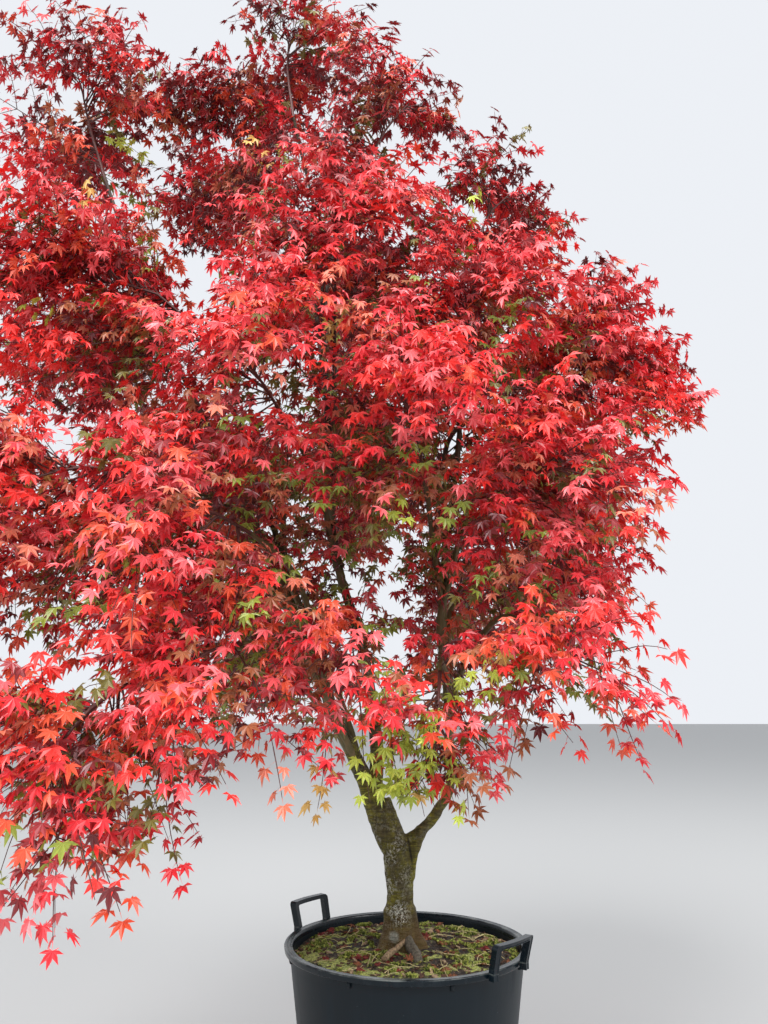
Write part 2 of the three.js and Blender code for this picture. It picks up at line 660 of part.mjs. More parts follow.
// A mass: stem, twigs and leaves fused into one solid
function makeMass(bough, random, limbs, limbSolids) {
  const stemRadius = (share) => THREE.MathUtils.lerp(BOUGH_TIP_RADIUS, STEM_TIP_RADIUS, share);
  let solid = solidOf(limbAlong(bough.stem, stemRadius, STEM_SIDES, STEM_STEPS));
  for (const twig of growTwigs(bough, random, limbs, limbSolids)) {
    const { across, over } = sidesOf(twig.direction);
    const shape = skinOver([ringAround(twig.from, across, over, twig.radius, TWIG_SIDES), [twig.to]]);
    solid = solid.add(facingOut(solidOf(shape))).add(twig.blade);
  }
  const lastLeaf = fittingLeaf(bough, bough.stem.getPoint(1), bough.stem.getTangent(1), random, limbSolids);
  if (lastLeaf) solid = solid.add(lastLeaf);
  return largestPiece(solid.subtract(limbSolids));
}

function named(name, geometry, finish) {
  const mesh = new THREE.Mesh(geometry, new THREE.MeshStandardMaterial(finish));
  mesh.name = name;
  return mesh;
}

function buildTree() {
  const tree = new THREE.Group();
  tree.add(named("tub", makeTub(), COLOURS.tub));
  for (const [side, azimuth] of [["left", LEFT_HANDLE_AZIMUTH], ["right", RIGHT_HANDLE_AZIMUTH]]) {
    const handle = named(`tub_handle_${side}`, makeHandle(), COLOURS.tub);
    handle.rotation.z = radians(azimuth);
    tree.add(handle);
  }
  tree.add(named("root_ball", makeRootBall(), COLOURS.soil));
  tree.add(named("trunk", makeTrunk(), COLOURS.bark));

  const random = seededRandom(CROWN_SEED);
  const curves = { trunk: trunkLine() };
  for (const bough of BOUGHS) {
    boughLine(bough, curves[bough.from], random);
    curves[bough.name] = bough.curve;
    bough.stem = stemLine(bough);
    bough.walls = wallsOf(bough, BOUGHS);
    bough.leafRadius = LEAF_RADIUS * THREE.MathUtils.clamp(meanSize(bough) / FULL.y, SMALLEST_LEAF_SHARE, 1);
  }

  let grown = solidOf(makeTrunk(GAP));
  const limbs = [];
  for (const bough of BOUGHS) {
    const limb = largestPiece(solidOf(boughShape(bough)).subtract(grown));
    tree.add(named(`bough_${bough.name}`, geometryOf(limb), bough.via ? COLOURS.bark : COLOURS.young_bark));
    grown = grown.add(solidOf(boughShape(bough, GAP)));
    limbs.push({
      name: bough.name,
      points: bough.curve.getPoints(LIMB_TEST_STEPS),
      radiusAt: boughRadius(bough),
    });
  }
  BOUGHS.forEach((bough, place) => {
    const others = limbs.filter((limb) => limb.name !== bough.name);
    const mass = makeMass(bough, seededRandom(FIRST_MASS_SEED + MASS_SEED_STEP * place), others, grown);
    tree.add(named(`foliage_${bough.name}`, geometryOf(mass), COLOURS[bough.tint]));
  });
  return tree;
}

export default buildTree();
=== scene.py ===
import json
import math

import bpy
import numpy as np
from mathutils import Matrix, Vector, noise

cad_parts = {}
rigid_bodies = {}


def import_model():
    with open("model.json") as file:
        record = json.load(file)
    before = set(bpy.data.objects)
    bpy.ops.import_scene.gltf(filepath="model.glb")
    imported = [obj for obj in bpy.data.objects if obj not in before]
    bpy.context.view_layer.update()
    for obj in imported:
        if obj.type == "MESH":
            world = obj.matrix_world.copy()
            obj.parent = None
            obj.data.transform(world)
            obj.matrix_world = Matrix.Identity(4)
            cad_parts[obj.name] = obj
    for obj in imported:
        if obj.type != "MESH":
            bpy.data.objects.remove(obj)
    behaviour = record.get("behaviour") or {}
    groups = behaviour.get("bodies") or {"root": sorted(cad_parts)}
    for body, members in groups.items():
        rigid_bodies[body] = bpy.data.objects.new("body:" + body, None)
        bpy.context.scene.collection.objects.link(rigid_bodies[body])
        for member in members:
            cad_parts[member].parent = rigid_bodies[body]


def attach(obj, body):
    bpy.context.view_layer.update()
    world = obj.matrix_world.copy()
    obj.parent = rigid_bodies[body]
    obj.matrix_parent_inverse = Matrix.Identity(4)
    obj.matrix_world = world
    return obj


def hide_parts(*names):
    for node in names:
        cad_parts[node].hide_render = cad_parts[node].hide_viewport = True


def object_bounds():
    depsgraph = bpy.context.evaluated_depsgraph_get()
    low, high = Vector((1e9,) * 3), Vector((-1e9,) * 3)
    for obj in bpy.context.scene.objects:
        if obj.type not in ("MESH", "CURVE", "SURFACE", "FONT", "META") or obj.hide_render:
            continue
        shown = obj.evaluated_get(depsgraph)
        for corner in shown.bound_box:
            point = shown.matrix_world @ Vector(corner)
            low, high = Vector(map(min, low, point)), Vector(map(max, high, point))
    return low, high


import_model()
CAD_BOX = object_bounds()

# A Japanese maple in autumn leaf, growing in a black nursery tub. Metres, +Z up, with the origin in the
# middle of the tub's flat underside, +X to the right of the picture and -Y towards the camera.
#
# The trunk, the three main limbs and the side boughs follow the same lines as the solids. From the tip of
# each bough the foliage grows on by the same rule: one stem, twigs that leave it by the golden angle
# inside a space of their own, side twigs on those in pairs, and leaves in pairs on the side twigs.

bl_info = {
    "name": "Potted Japanese maple",
    "version": (1, 0, 0),
    "blender": (4, 5, 0),
    "location": "3D View > Sidebar > Maple",
    "description": "Builds a Japanese maple in autumn leaf in a round nursery tub",
    "category": "Add Mesh",
}

UP = np.array([0.0, 0.0, 1.0])
LEVEL = np.array([1.0, 1.0, 0.0])
FULL_TURN = 2 * math.pi
GOLDEN_ANGLE = math.pi * (3 - math.sqrt(5))
GOLDEN_SHARE = (math.sqrt(5) - 1) / 2
# The most triangles in one piece of foliage
MOST_TRIANGLES = 190000

# The photograph's camera
CAMERA_PLACE = (-0.0595, -2.2624, 1.0524)
CAMERA_PITCH = 14.920
CAMERA_FOCAL_PIXELS = 769.0
PHOTO_HEIGHT = 1024
SENSOR_WIDTH = 36

# Soft lights: name, place, the place that each faces, width and power
LIGHTS = (
    ("key", (-4.8, -7.6, 11.0), (-0.1, 0, 1.3), 8.0, 2000),
    ("fill", (6.8, -6.8, 9.4), (0, 0, 1.0), 8.0, 1300),
)

# The trunk: height above the soil, radius, how far the roots stand out, sideways place of the middle
TRUNK_PROFILE = (
    (-0.020, 0.066, 0.018, -0.013),
    (0.000, 0.061, 0.015, -0.013),
    (0.015, 0.056, 0.011, -0.013),
    (0.040, 0.048, 0.006, -0.015),
    (0.072, 0.045, 0.003, -0.015),
    (0.098, 0.041, 0.000, -0.015),
    (0.110, 0.0355, 0.000, -0.016),
    (0.137, 0.0353, 0.000, -0.016),
    (0.181, 0.0375, 0.000, -0.018),
    (0.219, 0.0403, 0.000, -0.021),
    (0.272, 0.027, 0.000, -0.022),
)
TRUNK_RINGS = 80
TRUNK_SIDES = 64
FLARE_LOBES = 5
FLARE_TURN = 0.8
SOIL_HEIGHT = 0.463
KNOB = (-0.038, -0.052, 0.500)
LICHEN_PATCH = (-0.026, -0.044, 0.552)

# The boughs: how they taper, how deep they enter their mass and how they bend on the way
LIMB_RINGS = 200
LIMB_SIDES = 28
BOUGH_RINGS = 48
BOUGH_SIDES = 12
BOUGH_TIP_RADIUS = 0.0055
BOUGH_TAPER = 0.8
BOUGH_WANDER = 0.045
BOUGH_DEPTH = 0.8
BOUGH_PULL_OUT = 0.34
BOUGH_PULL_IN = 0.42
CROWN_SEED = 2024

# Foliage: how a stem goes on from its bough, and how twigs leave it
STEM_OVERSHOOT = 0.5
STEM_SAG = 0.06
STEM_END_RADIUS = 0.0024
FIRST_TWIG = 0.1
LAST_TWIG = 0.98
TWIG_LEAN = 64
TWIG_SAG = 0.16
TWIG_POINTS = 7
LONGEST_TWIG = 0.52
SHORTEST_TWIG = 0.05
SIDE_TWIG_SAG = 0.16
SIDE_TWIG_POINTS = 5
SIDE_TWIG_LEAN = 52
SIDE_TWIG_END_RADIUS = 0.0007
SHORTEST_SIDE_TWIG = 0.03
# A bough that enters its mass at less than this pitch weeps: it has more twigs, and they lean further
WEEPING_PITCH = math.radians(-30)
WEEPING_TWIGS = 1.9
WEEPING_LEAN = 1.3
# The middle of the crown, seen from above
CROWN_AXIS = np.array([-0.12, 0.0, 0.0])
# What the repeatable draws start from
SHAPE_SEED = 5
LEAF_SEED = 99
SHOOT_SEED = 404
MASS_SEED = 500

# Sizes of a mass: how far its space reaches along X, Y and Z from its middle
BROAD = (0.440, 0.370, 0.340)
DEEP = (0.350, 0.400, 0.290)
SHOULDER = (0.340, 0.330, 0.260)
FULL = (0.300, 0.290, 0.280)
MEDIUM = (0.270, 0.300, 0.250)
UPRIGHT = (0.280, 0.270, 0.320)
LIGHT = (0.210, 0.200, 0.200)
WEEPING = (0.190, 0.180, 0.340)
SMALL = (0.150, 0.150, 0.210)


class Bough:
    """A bough with the mass of foliage at its end."""

    def __init__(self, name, parent, share, radius, middle, size, pitch, bends=()):
        azimuth, out, height = middle
        self.name = name
        self.parent = parent
        self.share = share
        self.radius = radius
        self.middle = np.array([
            out * math.cos(math.radians(azimuth)),
            out * math.sin(math.radians(azimuth)),
            height,
        ])
        self.size = np.array(size)
        self.pitch = math.radians(pitch)
        self.bends = bends


def all_boughs():
    """The boughs in the order in which they leave each other, main limbs first."""
    return [
        Bough("left_limb", "trunk", 0.93, 0.038, (200, 0.890, 2.200), BROAD, 25, (
            (-0.056, 0.000, 0.745), (-0.093, -0.006, 0.840), (-0.127, -0.022, 0.915),
            (-0.212, -0.062, 1.090), (-0.290, -0.102, 1.310), (-0.430, -0.125, 1.735),
        )),
        Bough("leader", "left_limb", 0.26, 0.022, (177, 0.400, 3.370), UPRIGHT, 86, (
            (-0.082, 0.010, 0.990), (-0.128, 0.022, 1.265), (-0.190, 0.026, 1.465),
            (-0.222, 0.024, 1.650), (-0.245, 0.014, 2.100), (-0.285, 0.008, 2.640),
        )),
        Bough("right_limb", "trunk", 0.95, 0.018, (13, 0.350, 2.770), MEDIUM, 65, (
            (0.042, 0.002, 0.750), (0.092, 0.004, 0.806), (0.127, 0.006, 0.882),
            (0.122, 0.008, 1.100), (0.112, 0.014, 1.340), (0.165, 0.024, 1.800),
            (0.222, 0.040, 2.290),
        )),
        Bough("left_shoulder_back", "left_limb", 0.7, 0.012, (152, 0.860, 1.980), BROAD, 15),
        Bough("far_left", "left_limb", 0.62, 0.011, (211, 0.970, 1.600), SHOULDER, -8),
        Bough("left_middle", "left_limb", 0.52, 0.012, (231, 0.800, 1.470), FULL, -5),
        Bough("upper_left", "left_limb", 0.7, 0.012, (191, 1.030, 2.940), UPRIGHT, 74),
        Bough("weeping_left", "left_limb", 0.44, 0.012, (227, 0.960, 1.030), WEEPING, -38),
        Bough("low_left", "left_limb", 0.36, 0.011, (236, 0.800, 1.150), LIGHT, -22),
        Bough("back_low_left", "left_limb", 0.4, 0.011, (144, 0.760, 1.400), DEEP, 0),
        Bough("low_front", "leader", 0.2, 0.009, (253, 0.500, 1.190), SMALL, -20),
        Bough("centre_left", "leader", 0.4, 0.012, (234, 0.640, 1.870), FULL, 22),
        Bough("front_high", "leader", 0.56, 0.012, (243, 0.430, 2.330), FULL, 30),
        Bough("back_centre", "leader", 0.45, 0.012, (104, 0.700, 2.060), BROAD, 22),
        Bough("back_high", "leader", 0.62, 0.011, (112, 0.470, 2.650), DEEP, 45),
        Bough("dome_left", "leader", 0.7, 0.010, (174, 0.570, 3.010), DEEP, 60),
        Bough("dome_right", "leader", 0.74, 0.010, (223, 0.030, 3.060), MEDIUM, 60),
        Bough("low_centre", "right_limb", 0.4, 0.009, (279, 0.420, 1.050), SMALL, -50),
        Bough("weeping_right", "right_limb", 0.46, 0.012, (305, 0.610, 1.200), SMALL, -32),
        Bough("right_middle", "right_limb", 0.56, 0.012, (307, 0.530, 1.630), MEDIUM, 8),
        Bough("centre", "right_limb", 0.6, 0.012, (269, 0.500, 1.780), MEDIUM, 15),
        Bough("right_low", "right_limb", 0.5, 0.011, (20, 0.500, 1.560), MEDIUM, -5),
        Bough("back_low_right", "right_limb", 0.48, 0.011, (60, 0.620, 1.500), FULL, 0),
        Bough("back_right", "right_limb", 0.62, 0.012, (48, 0.680, 1.960), BROAD, 18),
        Bough("right_shoulder", "right_limb", 0.66, 0.013, (349, 0.530, 2.080), DEEP, 18),
        Bough("front_right", "right_limb", 0.74, 0.011, (296, 0.400, 2.120), MEDIUM, 35),
        Bough("back_high_right", "right_limb", 0.8, 0.010, (50, 0.480, 2.420), MEDIUM, 40),
    ]


class RuleRandom:
    """The repeatable stream of numbers from 0 to 1 that bends the solids' boughs."""

    def __init__(self, seed):
        self.state = seed

    def next(self):
        self.state = (self.state * 1664525 + 1013904223) % 2**32
        return self.state / 2**32


def unit(vectors):
    """The same directions with a length of one."""
    length = np.linalg.norm(vectors, axis=-1, keepdims=True)
    return vectors / np.maximum(length, 1e-9)


class Line:
    """A smooth line through its points, the one that the solids' limbs follow."""

    def __init__(self, points):
        points = np.array(points, dtype=float)
        before = 2 * points[0] - points[1]
        after = 2 * points[-1] - points[-2]
        self.points = points
        self.padded = np.vstack([before, points, after])

    def at(self, share):
        """The places at the given shares of the line, from 0 to 1."""
        share = np.atleast_1d(np.asarray(share, dtype=float))
        last = len(self.points) - 1
        first = np.minimum(np.floor(share * last).astype(int), last - 1)
        part = (share * last - first)[:, None]
        before, start, end, after = (self.padded[first + step] for step in range(4))
        leave = 0.5 * (end - before)
        arrive = 0.5 * (after - start)
        square = -3 * start + 3 * end - 2 * leave - arrive
        cube = 2 * start - 2 * end + leave + arrive
        return start + leave * part + square * part**2 + cube * part**3

    def along(self, share):
        """The line's direction at the given shares."""
        share = np.atleast_1d(np.asarray(share, dtype=float))
        step = 1e-4
        ahead = self.at(np.minimum(share + step, 1))
        behind = self.at(np.maximum(share - step, 0))
        return unit(ahead - behind)


def grow_boughs():
    """Works out each bough's line, stem and space by the rule of the solids."""
    chance = RuleRandom(CROWN_SEED)
    trunk = Line([(across, 0, SOIL_HEIGHT + up) for up, _, _, across in TRUNK_PROFILE[1:]])
    lines = {"trunk": trunk}
    boughs = all_boughs()
    for bough in boughs:
        parent = lines[bough.parent]
        start = parent.at(bough.share)[0]
        leaving = parent.along(bough.share)[0]
        outward = bough.middle - start
        outward[2] = 0
        entering = unit(outward) * math.cos(bough.pitch) + UP * math.sin(bough.pitch)
        depth = 1 / np.linalg.norm(entering / bough.size)
        end = bough.middle - BOUGH_DEPTH * depth * entering
        points = [start]
        if bough.bends:
            points.extend(np.array(bend) for bend in bough.bends)
        else:
            points.extend(pulled_points(start, leaving, entering, end, chance))
        points.append(end)
        bough.line = Line(points)
        bough.entering = bough.line.along(1)[0]
        bough.end = end
        bough.stem = stem_line(bough)
        lines[bough.name] = bough.line
    for bough in boughs:
        bough.walls, bough.limits = walls_of(bough, boughs)
    return boughs


def pulled_points(start, leaving, entering, end, chance):
    """Three points between a bough's ends, a little astray from a curve that joins them smoothly."""
    span = np.linalg.norm(end - start)
    first = start + leaving * BOUGH_PULL_OUT * span
    second = end - entering * BOUGH_PULL_IN * span
    points = []
    for share in (0.25, 0.5, 0.75):
        rest = 1 - share
        place = (
            rest**3 * start
            + 3 * rest**2 * share * first
            + 3 * rest * share**2 * second
            + share**3 * end
        )
        wander = np.array([chance.next() - 0.5, chance.next() - 0.5, chance.next() - 0.5])
        points.append(place + wander * BOUGH_WANDER * span)
    return points


def stem_line(bough):
    """The stem that goes on from a bough, over the middle of its mass and towards the far side."""
    far = bough.middle + STEM_OVERSHOOT * (bough.middle - bough.end)
    length = np.linalg.norm(far - bough.end)
    far = far - UP * STEM_SAG * length
    middle = bough.end + bough.entering * 0.45 * length
    middle = middle + 0.4 * (bough.middle - middle)
    return Line([bough.end, middle, far])


def walls_of(bough, boughs):
    """The flat walls between a mass and its neighbours, as directions and limits."""
    walls = []
    limits = []
    for other in (each for each in boughs if each is not bough):
        apart = other.middle - bough.middle
        distance = np.linalg.norm(apart)
        wall = apart / distance
        share = (distance**2 + bough.size.mean()**2 - other.size.mean()**2) / (2 * distance)
        walls.append(wall)
        limits.append(wall @ bough.middle + share)
    return np.array(walls), np.array(limits)


def bough_radius(bough, share):
    """How thick a bough is at the given shares of its line."""
    return bough.radius + (BOUGH_TIP_RADIUS - bough.radius) * share**BOUGH_TAPER


def room_inside(bough, starts, directions, spare):
    """How far lines run in a mass's space before they leave it or come near a neighbour's wall."""
    place = (starts - bough.middle) / bough.size
    pace = directions / bough.size
    square = (pace**2).sum(axis=1)
    slope = 2 * (place * pace).sum(axis=1)
    inside = (place**2).sum(axis=1) - 1
    root = np.sqrt(np.maximum(slope**2 - 4 * square * inside, 0))
    room = (-slope + root) / (2 * square)
    towards = directions @ bough.walls.T
    left = bough.limits - starts @ bough.walls.T
    to_wall = np.where(towards > 1e-6, left / np.maximum(towards, 1e-6) - spare, np.inf)
    return np.minimum(room, np.maximum(to_wall.min(axis=1), 0))


def room_in_box(starts, directions, spare):
    """How far lines run before they leave the box of the solids, less a little to spare."""
    low, high = (np.array(corner) for corner in CAD_BOX)
    pace = np.where(np.abs(directions) < 1e-6, 1e-6, directions)
    room = np.where(pace > 0, (high - starts) / pace, (low - starts) / pace)
    return np.maximum(room.min(axis=1) - spare, 0)


def inside_space(bough, points, over):
    """Which points lie in a mass's space, or as far outside it as over allows."""
    near = (((points - bough.middle) / (bough.size + over))**2).sum(axis=1) < 1
    walled = (points @ bough.walls.T < bough.limits + over).all(axis=1)
    return near & walled


# Meshes


def add_object(name, data):
    """Puts an object with the given data in the scene."""
    thing = bpy.data.objects.new(name, data)
    bpy.context.scene.collection.objects.link(thing)
    return thing


def mesh_object(name, vertices, faces, smooth=True):
    """Makes an object of a mesh whose faces all have the same number of corners."""
    vertices = np.ascontiguousarray(vertices, dtype=np.float32).reshape(-1, 3)
    faces = np.ascontiguousarray(faces, dtype=np.int32)
    mesh = bpy.data.meshes.new(name)
    mesh.vertices.add(len(vertices))
    mesh.vertices.foreach_set("co", vertices.ravel())
    mesh.loops.add(faces.size)
    mesh.loops.foreach_set("vertex_index", faces.ravel())
    mesh.polygons.add(len(faces))
    mesh.polygons.foreach_set("loop_start", np.arange(len(faces), dtype=np.int32) * faces.shape[1])
    mesh.update(calc_edges=True)
    mesh.polygons.foreach_set("use_smooth", np.full(len(faces), smooth))
    mesh.validate()
    return add_object(name, mesh)


def shade_smooth(piece):
    """Rounds the look of a mesh's faces."""
    piece.data.polygons.foreach_set("use_smooth", np.full(len(piece.data.polygons), True))


def grid_faces(rows, columns):
    """Four-cornered faces between rings of points."""
    row, column = np.meshgrid(np.arange(rows - 1), np.arange(columns), indexing="ij")
    beside = (column + 1) % columns
    low = row * columns
    high = low + columns
    corners = [low + column, low + beside, high + beside, high + column]
    return np.stack(corners, axis=-1).reshape(-1, 4)


def ring_angles(sides):
    """The angles of a ring's points."""
    return FULL_TURN * np.arange(sides) / sides


def sides_of(directions):
    """Two directions square to each given one."""
    steep = np.abs(directions[:, 2:3]) > 0.9
    reference = np.where(steep, np.array([1.0, 0, 0]), UP)
    across = unit(np.cross(directions, reference))
    return across, unit(np.cross(directions, across))


def frames_along(lines):
    """Directions across and over many lines of points at once, which don't twist round them."""
    tangents = unit(np.gradient(lines, axis=1))
    across, _ = sides_of(tangents[:, 0])
    all_across = []
    all_over = []
    for step in range(lines.shape[1]):
        over = unit(np.cross(tangents[:, step], across))
        across = unit(np.cross(over, tangents[:, step]))
        all_across.append(across)
        all_over.append(over)
    return np.stack(all_across, axis=1), np.stack(all_over, axis=1)


def tubes(lines, radii, sides):
    """Skins round many lines that all have the same number of points."""
    across, over = frames_along(lines)
    angle = ring_angles(sides)[:, None]
    ring = across[:, :, None, :] * np.cos(angle) + over[:, :, None, :] * np.sin(angle)
    vertices = lines[:, :, None, :] + radii[:, :, None, None] * ring
    count, points = lines.shape[:2]
    faces = grid_faces(points, sides)
    starts = (np.arange(count) * points * sides)[:, None, None]
    return vertices.reshape(-1, 3), (faces[None] + starts).reshape(-1, 4)


def joined(parts):
    """Joins lists of points and faces into one."""
    vertices = []
    faces = []
    start = 0
    for points, corners in parts:
        vertices.append(points)
        faces.append(corners + start)
        start += len(points)
    return np.vstack(vertices), np.vstack(faces)


def lathe(profile, sides):
    """A surface turned round the Z axis from a profile of radius and height."""
    profile = np.array(profile)
    angle = ring_angles(sides)
    radius = profile[:, :1]
    x = radius * np.cos(angle)
    y = radius * np.sin(angle)
    z = np.broadcast_to(profile[:, 1:], x.shape)
    return np.stack([x, y, z], axis=-1).reshape(-1, 3), grid_faces(len(profile), sides)


def rumple(points, scale, seed):
    """Smooth noise from about -1 to 1 at each point."""
    offset = Vector((seed * 7.3, seed * 3.1, seed * 5.7))
    return np.array([noise.noise(Vector(point) * scale + offset) for point in points])


def vertex_array(piece):
    """The places of a mesh's vertices."""
    places = np.empty(len(piece.data.vertices) * 3, dtype=np.float32)
    piece.data.vertices.foreach_get("co", places)
    return places.reshape(-1, 3).astype(float)


def normal_array(piece):
    """The directions in which a mesh's vertices face."""
    directions = np.empty(len(piece.data.vertices) * 3, dtype=np.float32)
    piece.data.vertex_normals.foreach_get("vector", directions)
    return directions.reshape(-1, 3).astype(float)


def move_vertices(piece, places):
    """Puts a mesh's vertices at new places."""
    piece.data.vertices.foreach_set("co", np.ascontiguousarray(places, dtype=np.float32).ravel())
    piece.data.update()


def apply_modifiers(piece):
    """Turns an object's modifiers into its mesh."""
    depsgraph = bpy.context.evaluated_depsgraph_get()
    mesh = bpy.data.meshes.new_from_object(piece.evaluated_get(depsgraph))
    piece.modifiers.clear()
    old = piece.data
    piece.data = mesh
    bpy.data.meshes.remove(old)


def finish_piece(piece, material, nodes):
    """Gives a piece its material and the body it rides on, and hides the solids it stands for."""
    piece.data.materials.clear()
    piece.data.materials.append(material)
    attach(piece, "root")
    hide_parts(*nodes)


# Materials


class Wire:
    """A number on its way through a material's nodes, so that its maths reads as Python."""

    def __init__(self, nodes, socket):
        self.nodes = nodes
        self.socket = socket

    def math(self, operation, first, second):
        return self.nodes.add("ShaderNodeMath", {"operation": operation}, {0: first, 1: second})

    def __add__(self, other):
        return self.math("ADD", self, other)

    __radd__ = __add__

    def __sub__(self, other):
        return self.math("SUBTRACT", self, other)

    def __rsub__(self, other):
        return self.math("SUBTRACT", other, self)

    def __mul__(self, other):
        return self.math("MULTIPLY", self, other)

    def ramp(self, low, high):
        """0 below low, 1 above high and smooth between. With high below low it falls."""
        return self.nodes.add(
            "ShaderNodeMapRange",
            {"interpolation_type": "SMOOTHSTEP"},
            {"Value": self, "From Min": low, "From Max": high},
        )

    def band(self, rise, fall):
        """1 between a rise and a fall, 0 outside them."""
        return self.ramp(*rise) * (1 - self.ramp(*fall))


class Nodes:
    """A material and the nodes in it."""

    def __init__(self, name):
        self.material = bpy.data.materials.new(name)
        self.material.use_nodes = True
        self.tree = self.material.node_tree
        self.shader = self.tree.nodes["Principled BSDF"]

    def feed(self, socket, value):
        """Links a wire to a socket, or sets the socket to a plain value."""
        if isinstance(value, Wire):
            self.tree.links.new(value.socket, socket)
        else:
            socket.default_value = value

    def add(self, kind, settings, sockets, output=0):
        """Makes a node with its settings first and then its sockets."""
        node = self.tree.nodes.new(kind)
        for key, value in settings.items():
            setattr(node, key, value)
        for key, value in sockets.items():
            self.feed(node.inputs[key], value)
        return Wire(self, node.outputs[output])

    def place(self):
        """The place on the object, in metres."""
        return self.add("ShaderNodeTexCoord", {}, {}, "Object")

    def stretched(self, stretch):
        """The place on the object, stretched along its axes."""
        return self.add("ShaderNodeMapping", {}, {"Vector": self.place(), "Scale": stretch})

    def axis(self, number):
        """The place along X, Y or Z: 0, 1 or 2."""
        return self.add("ShaderNodeSeparateXYZ", {}, {0: self.place()}, number)

    def away_from(self, point):
        """The distance from a point."""
        return self.add("ShaderNodeVectorMath", {"operation": "DISTANCE"}, {0: self.place(), 1: point}, 1)

    def noise(self, scale, stretch=(1, 1, 1), detail=4.0, roughness=0.55):
        """Cloudy noise, of so many clouds to the metre."""
        sockets = {
            "Vector": self.stretched(stretch),
            "Scale": scale,
            "Detail": detail,
            "Roughness": roughness,
        }
        return self.add("ShaderNodeTexNoise", {}, sockets)

    def cells(self, scale, stretch=(1, 1, 1)):
        """The distance to the nearest of many scattered points."""
        return self.add("ShaderNodeTexVoronoi", {}, {"Vector": self.stretched(stretch), "Scale": scale})

    def mix(self, share, first, second):
        """A colour between two colours."""
        return self.add("ShaderNodeMix", {"data_type": "RGBA"}, {0: share, 6: first, 7: second}, 2)

    def bump(self, height, strength, distance):
        """Relief for the shader's Normal."""
        sockets = {"Height": height, "Strength": strength, "Distance": distance}
        return self.add("ShaderNodeBump", {}, sockets)

    def finish(self, **sockets):
        """Sets the shader's own sockets, with spaces for underscores, and returns the material."""
        for key, value in sockets.items():
            self.feed(self.shader.inputs[key.replace("_", " ")], value)
        return self.material


def linear(red, green, blue):
    """A colour given as 0 to 255 on a screen, as light."""
    channels = []
    for channel in (red, green, blue):
        value = channel / 255
        channels.append(value / 12.92 if value <= 0.04045 else ((value + 0.055) / 1.055)**2.4)
    return (*channels, 1.0)


def tub_plastic(colour):
    """Black plastic, dusty and streaked by rain, with a glossier lip and a painted highlight in places
    along its top edge.
    """
    nodes = Nodes("tub_plastic")
    streaks = nodes.noise(30, (1, 1, 0.06), 5, 0.6)
    clouds = nodes.noise(7, (1, 1, 1), 4, 0.6)
    dust = streaks.ramp(0.48, 0.72) * clouds.ramp(0.35, 0.75)
    spots = (1 - nodes.cells(75).ramp(0.03, 0.075)) * nodes.noise(23).ramp(0.52, 0.6)
    lip = nodes.axis(2).ramp(0.462, 0.466)
    worn = lip * nodes.noise(60, (1, 1, 1), 6, 0.7).ramp(0.5, 0.75)
    dusty = nodes.mix(dust * 0.22, (*colour, 1), linear(52, 62, 70))
    spotted = nodes.mix(spots * 0.5, dusty, linear(140, 146, 150))
    shade = nodes.mix(worn * 0.10, spotted, linear(88, 94, 98))
    # A pale line in places along the top edge of the lip: a painted highlight, the glint of the wet edge.
    rim = nodes.axis(2).band((0.4765, 0.4785), (0.4802, 0.4810))
    painted_glint = rim * nodes.noise(13, (1, 1, 1), 4, 0.6).ramp(0.40, 0.66)
    edged = nodes.mix(painted_glint * 0.36, shade, linear(150, 156, 150))
    scratches = nodes.noise(220, (1, 1, 0.3), 3)
    return nodes.finish(
        Base_Color=edged,
        Roughness=0.40 - lip * 0.22 + dust * 0.25 + clouds * 0.12,
        Specular_IOR_Level=0.24,
        Normal=nodes.bump(scratches * 0.3 + clouds, 0.25, 0.002),
    )


